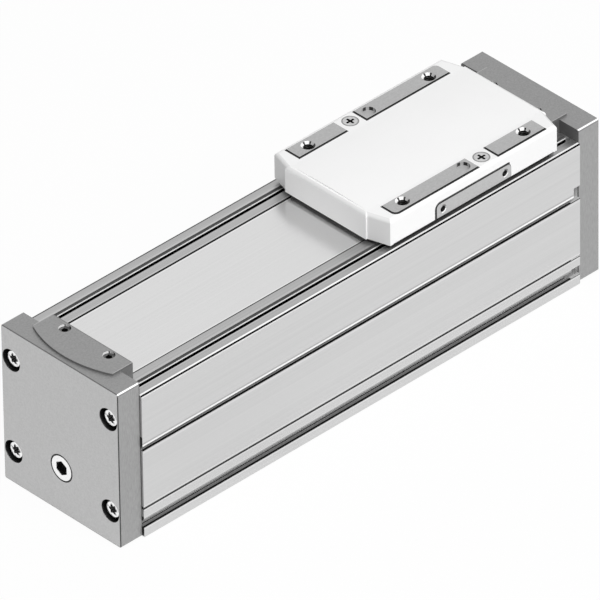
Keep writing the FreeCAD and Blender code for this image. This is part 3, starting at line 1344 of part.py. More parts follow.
def make_slide_body():
    body = doc.addObject("PartDesign::Body", "SlideBody")
    span = ("slide_rest - body_half", "slide_rest + body_half")
    plate = rectangle(sketch(body, "body_plan", "XY_Plane", "body_bottom"), span[0], span[1],
                      "-body_outer", "body_outer")
    pad(body, plate, "body_top - body_bottom")
    side = rectangle(sketch(body, "side_pads", "XZ_Plane"), "slide_rest - pad_half",
                     "slide_rest + pad_half", "body_bottom", "pad_top")
    pads = pad(body, side, "cover_half_width * 2", both_ways=True)
    top = size("pad_top")
    middle = size("slide_rest")
    reach = size("pad_half")
    rounded = fillet(body, "pad_corners", pads, "pad_round", lambda point, way: (
        abs(way.y) > 0.99 and near(point.z, top) and near(abs(point.x - middle), reach)))
    lands = pad(body, land_windows(sketch(body, "lands", "XY_Plane", "body_top"), "0"),
                "slide_top - body_top")
    fillet(body, "land_corners", lands, "land_round", long_land_corner(0))
    tunnel = rectangle(sketch(body, "strip_tunnel", "YZ_Plane"), "-body_inner", "body_inner",
                       "body_bottom + body_base", "slide_top + 1")
    pocket(body, tunnel, both_ways=True)
    ends = sketch(body, "open_ends", "XY_Plane", "body_bottom - 1")
    rectangle(ends, "slide_rest - body_half - 1", "slide_rest - yoke_half", "-body_inner",
              "body_inner")
    rectangle(ends, "slide_rest + yoke_half", "slide_rest + body_half + 1", "-body_inner",
              "body_inner")
    pocket(body, ends, "body_base + 2", backwards=True)
    make_slide_threads(body)
    return node(cut("slide_body_with_sinks", body, body_sinks()), "slide_body")


def body_sinks():
    """Countersinks of the load threads and seats of the countersunk base screws."""
    top = "(body_bottom + body_base)"
    sinks = [cone(f"base_sink_{number}", "z",
                  ("body_screw_d / 2 + seat_gap", "body_screw_d + seat_gap"),
                  f"{top} - body_screw_d / 2", top, spot)
             for number, spot in enumerate(BODY_SCREWS)]
    depth = "(thread_sink - thread_core) / 2"
    for row, x in enumerate(("- thread_x", "+ thread_x")):
        for column, y in enumerate(("-thread_y", "thread_y")):
            sinks.append(cone(f"load_sink_{row}{column}", "z", ("thread_core / 2", "thread_sink / 2"),
                              f"slide_top - {depth}", "slide_top", (f"slide_rest {x}", y)))
    return sinks


def make_slide_threads(body):
    threads = sketch(body, "load_threads", "XY_Plane", "slide_top")
    centring = sketch(body, "centring_holes", "XY_Plane", "slide_top")
    for y in ("-thread_y", "thread_y"):
        ring(centring, "slide_rest", y, "centring_d / 2")
        for x in ("- thread_x", "+ thread_x"):
            ring(threads, f"slide_rest {x}", y, "thread_core / 2")
    pocket(body, threads, "thread_depth")
    pocket(body, centring, "centring_depth")
    grips = sketch(body, "cover_screw_threads", "XY_Plane", "body_top")
    for x, y in (("+ cover_screw_x", "-cover_screw_y"), ("- cover_screw_x", "cover_screw_y")):
        ring(grips, f"slide_rest {x}", y, "cover_screw_d / 2 + thread_gap")
    pocket(body, grips, "cover_screw_grip + 1")
    for name, level, backwards in (("right", "cover_half_width", False),
                                   ("left", "-cover_half_width", True)):
        sides = sketch(body, name + "_side_threads", "XZ_Plane", level)
        for x in ("- side_thread_x", "+ side_thread_x"):
            ring(sides, f"slide_rest {x}", "side_thread_z", "side_thread_core / 2")
        pocket(body, sides, "side_thread_depth", backwards=backwards)
    seats = sketch(body, "body_screw_holes", "XY_Plane", "body_bottom + body_base")
    for x, y in BODY_SCREWS:
        ring(seats, x, y, "body_screw_d / 2 + thread_gap")
    pocket(body, seats)


def make_body_screws():
    """Countersunk screws, flush with the slide body's base."""
    top = "(body_bottom + body_base)"
    neck = f"({top} - body_screw_d / 2)"
    screws = []
    for number, spot in enumerate(BODY_SCREWS):
        name = f"body_screw_{number}"
        parts = [cone(name + "_head", "z", ("body_screw_d / 2", "body_screw_d"), neck, top, spot),
                 rod(name + "_shank", "z", "body_screw_d / 2", "body_bottom - body_screw_d * 1.5",
                     neck, spot)]
        drive = hexagon(name + "_socket", "z", "body_screw_d * 0.6", f"{top} - body_screw_d * 0.35",
                        top, spot)
        screws.append(cut(name, fuse(name + "_blank", parts), [drive]))
    return node(group("body_screw_set", screws), "body_screws")


def cover_plan(section, wall, end_wall):
    """Plan of the cover: hood in the middle, shoulders with slanted ends."""
    side = f"(cover_half_width - {wall})"
    hood_y = f"(hood_width / 2 - {wall})"
    quarter = [(f"(shoulder_outer - {end_wall})", side), (f"(shoulder_inner - {end_wall})", hood_y),
               (f"(hood_half - {end_wall})", hood_y)]
    points = [(f"slide_rest + {x}", y) for x, y in quarter]
    points += [(f"slide_rest + {x}", f"-{y}") for x, y in reversed(quarter)]
    points += [(f"slide_rest - {x}", f"-{y}") for x, y in quarter]
    points += [(f"slide_rest - {x}", y) for x, y in reversed(quarter)]
    return outline(section, points)


def make_cover():
    body = doc.addObject("PartDesign::Body", "SlideCover")
    shell = pad(body, cover_plan(sketch(body, "cover_outline", "XY_Plane", "cover_bottom"), "0", "0"),
                "cover_top - cover_bottom")
    top = size("cover_top")
    rounded = fillet(body, "cover_edges", shell, "cover_round",
                     lambda point, way: near(point.z, top))
    crown = crown_sketch(sketch(body, "hood_crown_section", "YZ_Plane", "slide_rest"))
    hood = pad(body, crown, "2 * (hood_half - hood_round)", both_ways=True)
    hollow = cover_plan(sketch(body, "cover_hollow", "XY_Plane", "cover_bottom"), "cover_wall",
                        "cover_end_wall")
    pocket(body, hollow, "cover_top - cover_bottom - cover_roof", backwards=True)
    windows = pocket(body, land_windows(sketch(body, "cover_windows", "XY_Plane",
                                               "cover_top + 2"), "window_gap"),
                     "cover_roof + 3")
    middle = size("slide_rest")
    fillet(body, "window_corners", windows, "land_round + window_gap",
           long_land_corner(size("window_gap")))
    sides = rectangle(sketch(body, "side_windows", "XZ_Plane"),
                      "slide_rest - pad_half - window_gap", "slide_rest + pad_half + window_gap",
                      "cover_bottom - 1", "pad_top + window_gap")
    opening = pocket(body, sides, both_ways=True)
    reach = size("pad_half") + size("window_gap")
    level = size("pad_top") + size("window_gap")
    fillet(body, "side_window_corners", opening, "pad_round + window_gap", lambda point, way: (
        abs(way.y) > 0.99 and near(point.z, level) and near(abs(point.x - middle), reach)))
    heads = sketch(body, "cover_screw_holes", "XY_Plane", "cover_top + 1")
    for x, y in COVER_SCREWS:
        ring(heads, x, y, "cover_screw_d / 2 + 2 * thread_gap")
    pocket(body, heads, "cover_roof + 2")
    sinks = cone_sinks()
    shaped = cut("cover_with_sinks", body, sinks)
    return node(shaped, "slide_cover")


COVER_SCREWS = (("slide_rest + cover_screw_x", "-cover_screw_y"),
                ("slide_rest - cover_screw_x", "cover_screw_y"))


def cone_sinks():
    """Countersinks for the cover screws."""
    return [cone(f"cover_sink_{number}", "z",
                 ("cover_screw_d / 2 + seat_gap", "cover_head_d / 2 + seat_gap"),
                 "cover_top - cover_head_d / 2 + cover_screw_d / 2", "cover_top", spot)
            for number, spot in enumerate(COVER_SCREWS)]


def crown_sketch(section):
    """Shallow arch over the hood, a little inside its edges."""
    half = size("hood_width") / 2 - size("cover_round")
    top = size("cover_top")
    root = top - size("cover_roof") / 2
    rise = size("hood_crown")
    radius = (half ** 2 + rise ** 2) / (2 * rise)
    spread = math.asin(half / radius)
    circle = Part.Circle(Vector(0, top + rise - radius, 0), Vector(0, 0, 1), radius)
    section.addGeometry(Part.ArcOfCircle(circle, math.pi / 2 - spread, math.pi / 2 + spread), False)
    section.addGeometry(Part.LineSegment(Vector(-half, top, 0), Vector(-half, root, 0)), False)
    section.addGeometry(Part.LineSegment(Vector(-half, root, 0), Vector(half, root, 0)), False)
    section.addGeometry(Part.LineSegment(Vector(half, root, 0), Vector(half, top, 0)), False)
    for first, second in ((0, 1), (1, 2), (2, 3), (3, 0)):
        section.addConstraint(Sketcher.Constraint("Coincident", first, 2, second, 1))
    side = "(hood_width / 2 - cover_round)"
    tie_point(section, 1, 1, f"-{side}", "cover_top")
    tie_point(section, 2, 1, f"-{side}", "cover_top - cover_roof / 2")
    tie_point(section, 3, 1, side, "cover_top - cover_roof / 2")
    tie_point(section, 0, 1, side, "cover_top")
    mark = section.addConstraint(Sketcher.Constraint("Radius", 0, radius))
    tie(section, f"Constraints[{mark}]", f"({side} ^ 2 + hood_crown ^ 2) / (2 * hood_crown)")
    return section


def make_cover_screws():
    screws = []
    top = "cover_top"
    neck = "cover_top - cover_head_d / 2 + cover_screw_d / 2"
    for number, spot in enumerate(COVER_SCREWS):
        name = f"cover_screw_{number}"
        parts = [cone(name + "_head", "z", ("cover_screw_d / 2", "cover_head_d / 2"), neck, top, spot),
                 rod(name + "_shank", "z", "cover_screw_d / 2", "body_top - cover_screw_grip", neck,
                     spot)]
        slots = []
        for way, x, y in (("long", "cover_head_d * 0.3", "cover_head_d * 0.07"),
                          ("cross", "cover_head_d * 0.07", "cover_head_d * 0.3")):
            slots.append(block(f"{name}_{way}", (f"{spot[0]} - {x}", f"{spot[0]} + {x}"),
                               (f"{spot[1]} - {y}", f"{spot[1]} + {y}"),
                               (f"{top} - cover_screw_d * 0.3", f"{top} + 1")))
        screws.append(cut(name, fuse(name + "_blank", parts), slots))
    return node(group("cover_screw_set", screws), "cover_screws")


def make_strip_guides():
    """Slippers at both ends of the slide that hold the strip down in its seat."""
    for side, way in (("near", "-"), ("far", "+")):
        ends = (f"slide_rest {way} guide_start", f"slide_rest {way} guide_end")
        if way == "-":
            ends = ends[::-1]
        half = "(body_inner - guide_side_gap)"
        hood = "(hood_width / 2 - cover_wall - guide_side_gap)"
        item = block(side + "_guide_block", ends, (f"-{hood}", hood),
                     ("profile_height + slide_gap", "cover_top - cover_roof - slide_gap"))
        node(item, side + "_strip_guide")


def build():
    make_profile()
    for side, far in (("near", False), ("far", True)):
        make_cap(side, far)
        make_cap_screws(side, far)
        make_plug(side, far)
        make_strip_clamp(side, far)
    make_strip()
    make_magnets()
    make_rail()
    make_rail_screws()
    make_drive_block()
    make_block_screws()
    make_drive_pulley()
    make_drive_bearings()
    make_idler_block()
    make_idler_pulley()
    make_idler_bearings()
    make_tension_screw()
    make_buffers()
    make_belt()
    make_runner()
    make_runner_ends()
    make_yoke()
    make_yoke_screws()
    screws = make_belt_clamp("near", "-") + make_belt_clamp("far", "+")
    node(group("belt_clamp_screw_set", screws), "belt_clamp_screws")
    make_slide_body()
    make_body_screws()
    make_cover()
    make_cover_screws()
    make_strip_guides()


def check_all():
    """Stop if any feature failed or any piece has no sound shape."""
    doc.recompute()
    for item in doc.Objects:
        if "Invalid" in item.State or "Error" in item.State:
            raise RuntimeError(f"{item.Label} failed: {item.State}")
    for item in NODES:
        if item.Shape.isNull() or not item.Shape.isValid() or not item.Shape.Solids:
            raise RuntimeError(f"{item.Label} has no sound shape")


def write_all():
    os.makedirs("parts", exist_ok=True)
    for item in NODES:
        item.Shape.exportStep(f"parts/{item.Label}.step")


build()
check_all()
write_all()
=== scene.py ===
import bpy
import bmesh
import json
import math
from mathutils import Matrix, Vector


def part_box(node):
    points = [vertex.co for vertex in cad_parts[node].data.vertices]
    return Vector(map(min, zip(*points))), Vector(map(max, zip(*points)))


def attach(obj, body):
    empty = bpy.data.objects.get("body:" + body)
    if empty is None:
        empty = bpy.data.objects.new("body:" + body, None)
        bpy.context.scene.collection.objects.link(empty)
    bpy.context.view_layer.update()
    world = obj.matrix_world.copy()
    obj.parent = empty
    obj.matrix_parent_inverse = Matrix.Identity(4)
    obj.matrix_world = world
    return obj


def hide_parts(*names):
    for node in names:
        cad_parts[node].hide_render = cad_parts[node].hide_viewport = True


# Belt driven linear axis, in metres: X along the axis, Z up, slide near the far end.
# Right is the side at -Y, left the side at +Y, near the end at -X and far the end at +X.

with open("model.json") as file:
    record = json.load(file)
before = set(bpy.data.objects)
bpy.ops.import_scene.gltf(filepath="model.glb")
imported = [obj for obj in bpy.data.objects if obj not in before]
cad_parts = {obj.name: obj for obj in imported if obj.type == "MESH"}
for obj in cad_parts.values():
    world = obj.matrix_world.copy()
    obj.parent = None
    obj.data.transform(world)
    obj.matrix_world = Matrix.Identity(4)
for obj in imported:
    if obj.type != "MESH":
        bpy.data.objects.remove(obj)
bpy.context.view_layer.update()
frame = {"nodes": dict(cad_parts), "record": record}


record = frame["record"]
nodes = frame["nodes"]

MM = 0.001

# Places that the frame gives for the pieces, in metres.
SLIDE_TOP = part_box("slide_body")[1].z
SLIDE_MIDDLE = (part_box("slide_body")[0].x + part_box("slide_body")[1].x) / 2
COVER_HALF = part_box("slide_cover")[1].y
STRIP_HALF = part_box("cover_strip")[1].y

# Places that the frame gives for the materials, in millimetres. A pad stands over each cap's top.
PAD_HEIGHT_MM = 1.2
SIDE_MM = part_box("profile")[1].y / MM
TOP_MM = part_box("profile")[1].z / MM
END_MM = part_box("profile")[1].x / MM
CAP_FACE_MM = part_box("far_end_cap")[1].x / MM
CAP_SIDE_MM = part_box("far_end_cap")[1].y / MM
PAD_TOP_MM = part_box("far_end_cap")[1].z / MM
CAP_TOP_MM = PAD_TOP_MM - PAD_HEIGHT_MM
NOSE_END_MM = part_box("far_end_cap")[0].x / MM
SLIDE_TOP_MM = SLIDE_TOP / MM
MIDDLE_MM = SLIDE_MIDDLE / MM
COVER_BOTTOM_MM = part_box("slide_cover")[0].z / MM


# Camera, fitted to the photograph.

AZIMUTH = math.radians(-43.531)
ELEVATION = math.radians(35.901)
ROLL = math.radians(-0.801)
FOCAL_PIXELS = 15500.0
IMAGE_PIXELS = 600.0
SENSOR = 36.0
DISTANCE = 7.335
CLIP = (0.1, 100.0)
CENTRE_PIXEL = (303.45, 296.78)
AIM = Vector((0.0, 0.0, 0.0445))


def make_camera():
    back = Vector((math.sin(AZIMUTH) * math.cos(ELEVATION),
                   -math.cos(AZIMUTH) * math.cos(ELEVATION), math.sin(ELEVATION)))
    level = Vector((math.cos(AZIMUTH), math.sin(AZIMUTH), 0.0))
    rise = back.cross(level)
    right = level * math.cos(ROLL) + rise * math.sin(ROLL)
    up = rise * math.cos(ROLL) - level * math.sin(ROLL)
    off_x = (CENTRE_PIXEL[0] - IMAGE_PIXELS / 2) / FOCAL_PIXELS * DISTANCE
    off_y = (IMAGE_PIXELS / 2 - CENTRE_PIXEL[1]) / FOCAL_PIXELS * DISTANCE
    spot = AIM + back * DISTANCE - right * off_x - up * off_y
    data = bpy.data.cameras.new("camera")
    data.sensor_width = SENSOR
    data.lens = FOCAL_PIXELS * SENSOR / IMAGE_PIXELS
    data.clip_start, data.clip_end = CLIP
    camera = bpy.data.objects.new("camera", data)
    turn = Matrix((right, up, back)).transposed().to_4x4()
    camera.matrix_world = Matrix.Translation(spot) @ turn
    bpy.context.scene.collection.objects.link(camera)
    bpy.context.scene.camera = camera


# Light, floor and background.

WORLD_LEVEL = 0.40
KEY_WAY = (-0.10, -0.60, 0.79)
KEY_WATTS = 52.0
KEY_WIDTH = 1.6
LAMP_DISTANCE = 2.5
FLOOR_HALF = 30.0
FLOOR_DROP = 0.5 * MM
FLOOR_GREY = 0.80
FLOOR_WHITE = 0.95


def area_lamp(name, direction, width, watts):
    data = bpy.data.lights.new(name, "AREA")
    data.shape = "SQUARE"
    data.size = width
    data.energy = watts
    lamp = bpy.data.objects.new(name, data)
    way = Vector(direction).normalized()
    lamp.location = AIM + way * LAMP_DISTANCE
    lamp.rotation_mode = "QUATERNION"
    lamp.rotation_quaternion = (-way).to_track_quat("-Z", "Y")
    bpy.context.scene.collection.objects.link(lamp)


def seen_directly(tree):
    """1 for rays from the camera, from a mirror and through glass, else 0."""
    path = tree.nodes.new("ShaderNodeLightPath")
    total = path.outputs["Is Camera Ray"]
    for name in ("Is Glossy Ray", "Is Transmission Ray"):
        more = tree.nodes.new("ShaderNodeMath")
        more.operation = "ADD"
        more.use_clamp = True
        tree.links.new(total, more.inputs[0])
        tree.links.new(path.outputs[name], more.inputs[1])
        total = more.outputs[0]
    return total


def make_world():
    world = bpy.data.worlds.new("studio")
    bpy.context.scene.world = world
    world.use_nodes = True
    tree = world.node_tree
    tree.nodes.clear()
    out = tree.nodes.new("ShaderNodeOutputWorld")
    mix = tree.nodes.new("ShaderNodeMixShader")
    tree.links.new(seen_directly(tree), mix.inputs[0])
    for socket, strength in ((1, WORLD_LEVEL), (2, 1.0)):
        glow = tree.nodes.new("ShaderNodeBackground")
        glow.inputs["Color"].default_value = (1.0, 1.0, 1.0, 1.0)
        glow.inputs["Strength"].default_value = strength
        tree.links.new(glow.outputs[0], mix.inputs[socket])
    tree.links.new(mix.outputs[0], out.inputs[0])


def floor_material():
    """Pale grey for light that bounces, and nearly white to the eye, so that a faint shadow stays."""
    material = bpy.data.materials.new("floor")
    material.use_nodes = True
    tree = material.node_tree
    tree.nodes.clear()
    out = tree.nodes.new("ShaderNodeOutputMaterial")
    lit = tree.nodes.new("ShaderNodeBsdfDiffuse")
    lit.inputs["Color"].default_value = (FLOOR_GREY, FLOOR_GREY, FLOOR_GREY, 1.0)
    glow = tree.nodes.new("ShaderNodeEmission")
    glow.inputs["Strength"].default_value = 1.0
    share = tree.nodes.new("ShaderNodeMath")
    share.operation = "MULTIPLY"
    share.inputs[1].default_value = FLOOR_WHITE
    mix = tree.nodes.new("ShaderNodeMixShader")
    tree.links.new(seen_directly(tree), share.inputs[0])
    tree.links.new(share.outputs[0], mix.inputs[0])
    tree.links.new(lit.outputs[0], mix.inputs[1])
    tree.links.new(glow.outputs[0], mix.inputs[2])
    tree.links.new(mix.outputs[0], out.inputs[0])
    return material


def make_floor():
    mesh = bpy.data.meshes.new("floor")
    corners = [(x * FLOOR_HALF, y * FLOOR_HALF, 0) for x, y in ((-1, -1), (1, -1), (1, 1), (-1, 1))]
    mesh.from_pydata(corners, [], [(0, 1, 2, 3)])
    mesh.materials.append(floor_material())
    floor = bpy.data.objects.new("floor", mesh)
    floor.location.z = -FLOOR_DROP
    bpy.context.scene.collection.objects.link(floor)


# Materials. Greys are given as they look in a picture, 0 to 255, and places in millimetres.

BUMP_DISTANCE = 0.1 * MM


def grey(shade):
    """The linear colour of a grey of a picture."""
    part = shade / 255.0
    level = part / 12.92 if part <= 0.04045 else ((part + 0.055) / 1.055) ** 2.4
    return (level, level, level, 1.0)


def is_number(value):
    return isinstance(value, (int, float))


class Finish:
    """A material under construction, with its shader and object coordinates."""

    def __init__(self, name, metallic):
        self.material = bpy.data.materials.new(name)
        self.material.use_nodes = True
        self.tree = self.material.node_tree
        self.shader = self.tree.nodes["Principled BSDF"]
        self.metallic = metallic
        self.coords = self.tree.nodes.new("ShaderNodeTexCoord")
        self.spots = self.parts_of("Object", 1 / MM)
        self.facings = self.parts_of("Normal", 1.0)
        self.colour = None
        self.dull = None

    def add(self, kind, **values):
        made = self.tree.nodes.new(kind)
        for key, value in values.items():
            setattr(made, key, value)
        return made

    def link(self, start, end):
        self.tree.links.new(start, end)

    def parts_of(self, name, scale):
        """X, Y and Z of a coordinate, multiplied by a scale."""
        grow = self.add("ShaderNodeVectorMath", operation="SCALE")
        grow.inputs["Scale"].default_value = scale
        self.link(self.coords.outputs[name], grow.inputs[0])
        split = self.add("ShaderNodeSeparateXYZ")
        self.link(grow.outputs[0], split.inputs[0])
        return {axis: split.outputs[axis] for axis in "XYZ"}

    def sum(self, operation, *values):
        """A math node on sockets or numbers."""
        made = self.add("ShaderNodeMath", operation=operation)
        for socket, value in zip(made.inputs, values):
            if is_number(value):
                socket.default_value = value
            else:
                self.link(value, socket)
        return made.outputs[0]

    def size(self, value):
        return self.sum("ABSOLUTE", value)

    def side_of(self, value):
        return self.sum("SIGN", value)

    def within(self, value, low, high):
        """1 where the value lies between two numbers, else 0."""
        return self.sum("COMPARE", value, (low + high) / 2, (high - low) / 2)

    def over(self, value, level):
        return self.sum("GREATER_THAN", value, level)

    def under(self, value, level):
        return self.sum("LESS_THAN", value, level)

    def all_of(self, *masks):
        result = masks[0]
        for mask in masks[1:]:
            result = self.sum("MULTIPLY", result, mask)
        return result

    def any_of(self, *masks):
        result = masks[0]
        for mask in masks[1:]:
            result = self.sum("MAXIMUM", result, mask)
        return result

    def distance(self, first, second):
        """Distance of a point from an axis, given its two offsets from it."""
        squares = [self.sum("MULTIPLY", value, value) for value in (first, second)]
        return self.sum("SQRT", self.sum("ADD", *squares))

    def angle(self, first, second):
        """Direction of a point from an axis, in degrees from the first offset."""
        return self.sum("MULTIPLY", self.sum("ARCTAN2", second, first), 180 / math.pi)

    def from_pair(self, value, middle, reach):
        """Offset from the nearer of two places, one on each side of a middle."""
        away = self.sum("SUBTRACT", value, middle)
        return self.sum("SUBTRACT", away, self.sum("MULTIPLY", self.side_of(away), reach))

    def from_four(self, middle, reach):
        """Offsets in X and Y from the nearest of four upright axes round a middle."""
        return (self.from_pair(self.spots["X"], middle, reach[0]),
                self.from_pair(self.spots["Y"], 0.0, reach[1]))

    def noise(self, scale, detail=3.0, roughness=0.6):
        """Noise whose grain is stretched by its own scale along each axis, per metre."""
        mapping = self.add("ShaderNodeMapping")
        mapping.inputs["Scale"].default_value = scale
        self.link(self.coords.outputs["Object"], mapping.inputs["Vector"])
        texture = self.add("ShaderNodeTexNoise")
        texture.inputs["Scale"].default_value = 1.0
        texture.inputs["Detail"].default_value = detail
        texture.inputs["Roughness"].default_value = roughness
        self.link(mapping.outputs[0], texture.inputs["Vector"])
        return texture.outputs["Fac"]

    def spread(self, value, low, high, start=0.3, end=0.7):
        """A value between start and end brought to lie between low and high."""
        remap = self.add("ShaderNodeMapRange")
        for name, number in (("From Min", start), ("From Max", end), ("To Min", low), ("To Max", high)):
            remap.inputs[name].default_value = number
        self.link(value, remap.inputs["Value"])
        return remap.outputs[0]

    def mix(self, share, first, second):
        """A colour between two greys or sockets."""
        made = self.add("ShaderNodeMix", data_type="RGBA")
        self.link(share, made.inputs[0])
        for socket, value in ((made.inputs[6], first), (made.inputs[7], second)):
            if is_number(value):
                socket.default_value = grey(value)
            else:
                self.link(value, socket)
        return made.outputs[2]

    def grain(self, value, shade, swing):
        """A grey that varies a little with a noise."""
        return self.mix(self.spread(value, 0.0, 1.0), shade - swing, shade + swing)

    def facing(self, axis, low=0.7, high=0.8):
        """1 on faces square to an axis, 0 elsewhere."""
        return self.spread(self.size(self.facings[axis]), 0.0, 1.0, low, high)

    def paint(self, mask, shade, dull=False):
        """Put a grey where the mask is 1; a dull spot scatters light and doesn't mirror."""
        self.colour = self.mix(mask, self.colour, shade)
        if dull:
            self.dull = mask if self.dull is None else self.sum("MAXIMUM", self.dull, mask)

    def paint_lines(self, area, place, lines):
        """Draw lines inside an area: each has where it starts and ends, and its grey."""
        for low, high, shade in lines:
            self.paint(self.all_of(area, self.within(place, low, high)), shade)

    def paint_round(self, area, turn, sectors):
        """Dull greys round an axis: each has two angles in degrees, and its grey."""
        for low, high, shade in sectors:
            self.paint(self.all_of(area, self.within(turn, low, high)), shade, True)

    def finish(self, rough, bumps, bump_strength=0.05):
        self.link(self.colour, self.shader.inputs["Base Color"])
        self.link(rough, self.shader.inputs["Roughness"])
        if self.dull is None:
            self.shader.inputs["Metallic"].default_value = self.metallic
        else:
            metal = self.spread(self.dull, self.metallic, 0.0, 0.0, 1.0)
            self.link(metal, self.shader.inputs["Metallic"])
        bump = self.add("ShaderNodeBump")
        bump.inputs["Strength"].default_value = bump_strength
        bump.inputs["Distance"].default_value = BUMP_DISTANCE
        self.link(bumps, bump.inputs["Height"])
        self.link(bump.outputs[0], self.shader.inputs["Normal"])
        return self.material


# Profile. Widths are measured from its middle, and heights from its underside.

HAIR_MM = 0.06
SEAT_MM = 25.05
GROOVE_MM = (30.55, 35.15)
LEDGE_MM = TOP_MM - 2.0
BEVEL_MM = 0.62
DEEP_MM = 70.0
SENSOR_MM = TOP_MM - 31.6
CLAMP_MM = 5.7
MARK_MM = 16.7
INNER_MM = SIDE_MM - HAIR_MM
SLOT_MM = (30.0, INNER_MM)
NOTCH_MM = END_MM - 6.0
NOTCH_HEIGHTS_MM = (2.0, 60.0)

# Painted highlights and painted shade lines along the flat of its top, at the edges of the grooves, the
# strip and the outer edge: from, to and grey.
RIGHT_LINES = ((35.15, 35.8, 190), (29.2, 30.4, 187), (25.0, 25.25, 100))
LEFT_LINES = ((39.8, 40.5, 85), (35.2, 36.3, 190), (29.4, 30.1, 184), (25.0, 25.6, 14),
              (25.9, 26.4, 200))
# A painted highlight along the outer band of the right side's top.
BRIGHT_LINE_MM = (39.35, 40.4)

# Lines along its outer sides: from, to and grey. They are painted highlights and painted shade lines that
# edge the bevel, the slots and the mark line.
SIDE_LINES = (
    (80.25, 81.1, 222),
    (48.3, 49.1, 222), (49.75, SENSOR_MM, 20), (52.4, 53.4, 255), (53.6, 54.4, 184),
    (MARK_MM - 1.6, MARK_MM - 1.0, 224), (MARK_MM - 0.75, MARK_MM - 0.3, 30),
    (MARK_MM + 0.7, MARK_MM + 1.4, 224),
    (4.4, 5.1, 224), (5.4, CLAMP_MM, 30), (10.2, 10.75, 168), (10.95, 11.6, 216))

# Painted shade on the faces in the slots, and painted highlights at their lips and at the bevel: widths,
# heights, grey, and whether dull.
# Later ones lie over earlier ones.
SLOT_FACES = (
    ((40.0, INNER_MM), (80.3, 81.1), 200, False),
    (SLOT_MM, (MARK_MM - 0.8, MARK_MM + 0.8), 20, True),
    (SLOT_MM, (SENSOR_MM - HAIR_MM, SENSOR_MM + 7.6), 12, True),
    (SLOT_MM, (0.5, CLAMP_MM + 6.0), 14, True),
    ((38.6, 40.0), (SENSOR_MM - HAIR_MM, SENSOR_MM + HAIR_MM), 178, True),
    ((40.3, 41.0), (51.75, 52.5), 140, False),
    ((39.1, 39.95), (CLAMP_MM - HAIR_MM, CLAMP_MM + HAIR_MM), 128, True),
    ((36.5, 37.5), (3.7, 4.1), 190, True),
    ((34.9, 36.0), (3.7, 4.1), 255, True),
    ((40.3, 41.0), (9.25, 10.2), 168, False))


def anodised():
    """Clear anodised extrusion, drawn along its length: its top is painted darker than its sides as painted
    shade, with painted highlights and shade lines at its edges, and painted shade in its slots and grooves.
    """
    made = Finish("anodised", 0.9)
    lines = made.noise((2.0, 700.0, 700.0), 4.0)
    cloud = made.noise((9.0, 22.0, 22.0), 2.0)
    # The top is painted darker than the sides: painted shade for how the light falls on each face.
    made.colour = made.mix(made.facing("Z"), made.grain(lines, 210, 3), made.grain(lines, 175, 6))
    paint_profile_top(made)
    paint_profile_side(made)
    return made.finish(made.spread(cloud, 0.34, 0.42), lines, 0.04)


def paint_profile_top(made):
    across = made.size(made.spots["Y"])
    height = made.spots["Z"]
    flat = made.over(height, TOP_MM - HAIR_MM)
    right = made.all_of(flat, made.under(made.spots["Y"], 0.0))
    left = made.all_of(flat, made.over(made.spots["Y"], 0.0))
    # Painted highlights and painted shade lines on the top, a painted highlight on the right outer band,
    # and painted shade on the outer bevel.
    made.paint_lines(right, across, RIGHT_LINES)
    made.paint_lines(left, across, LEFT_LINES)
    made.paint(made.all_of(right, made.within(across, *BRIGHT_LINE_MM)), 255, True)
    made.paint(made.all_of(made.over(height, TOP_MM - BEVEL_MM), made.over(across, SIDE_MM - BEVEL_MM)), 6)
    # Painted shade in the strip's seat and in the grooves, a lighter painted shade on the grooves' upper
    # walls, and a painted highlight on their ledges.
    deep = made.all_of(made.under(height, TOP_MM - HAIR_MM), made.over(height, DEEP_MM))
    made.paint(made.all_of(deep, made.under(across, SEAT_MM + HAIR_MM)), 8)
    groove = made.all_of(deep, made.within(across, *GROOVE_MM))
    made.paint(groove, 6)
    made.paint(made.all_of(groove, made.over(height, LEDGE_MM + HAIR_MM)), 88, True)
    ledge = made.within(height, LEDGE_MM - HAIR_MM, LEDGE_MM + HAIR_MM)
    made.paint(made.all_of(groove, ledge), 240, True)


def paint_profile_side(made):
    across = made.size(made.spots["Y"])
    height = made.spots["Z"]
    made.paint_lines(made.over(across, INNER_MM), height, SIDE_LINES)
    for widths, heights, shade, dull in SLOT_FACES:
        made.paint(made.all_of(made.within(across, *widths), made.within(height, *heights)), shade, dull)
    # Where the slots open at the far end, a lighter grey is painted over their painted shade, as if light
    # reached in.
    notch = made.all_of(made.over(made.spots["X"], NOTCH_MM), made.within(across, *SLOT_MM))
    made.paint(made.all_of(notch, made.within(height, *NOTCH_HEIGHTS_MM)), 190, True)


# End caps. Lengths are measured from the middle of the axis, and heights from the underside.

SKIN_MM = 0.1
# Widths and heights of the painted shade lines and the painted highlight along the caps' edges and at their
# joint with the profile.
CAP_EDGE_MM = 0.42
CAP_CORNER_MM = 0.62
CAP_FLANK_MM = 0.5
FOOT_LINE_MM = 0.6
FLANK_LINE_MM = (CAP_TOP_MM - 1.4, CAP_TOP_MM - 0.75)
CORNER_LINE_MM = (CAP_TOP_MM - 0.58, CAP_TOP_MM + SKIN_MM)
JOINT_LINE_MM = END_MM + 0.4
PAD_WALL_MM = (CAP_TOP_MM + 0.04, PAD_TOP_MM - 0.04)
PAD_FRONT_MM = NOSE_END_MM + 0.5
PAD_SIDE_MM = 26.75
BELOW_MM = (1.0, 79.5)
SUNK_MM = 0.3
PLUG_HEIGHT_MM = 26.0
# A painted shade ring round the plug.
PLUG_RING_MM = (6.5, 7.45)
SET_SCREWS_MM = (139.8, 15.0)
SET_HOLE_MM = 3.25
SET_DEPTH_MM = (TOP_MM + 1.0, PAD_TOP_MM - 0.04)
SET_MOUTH_MM = 1.3
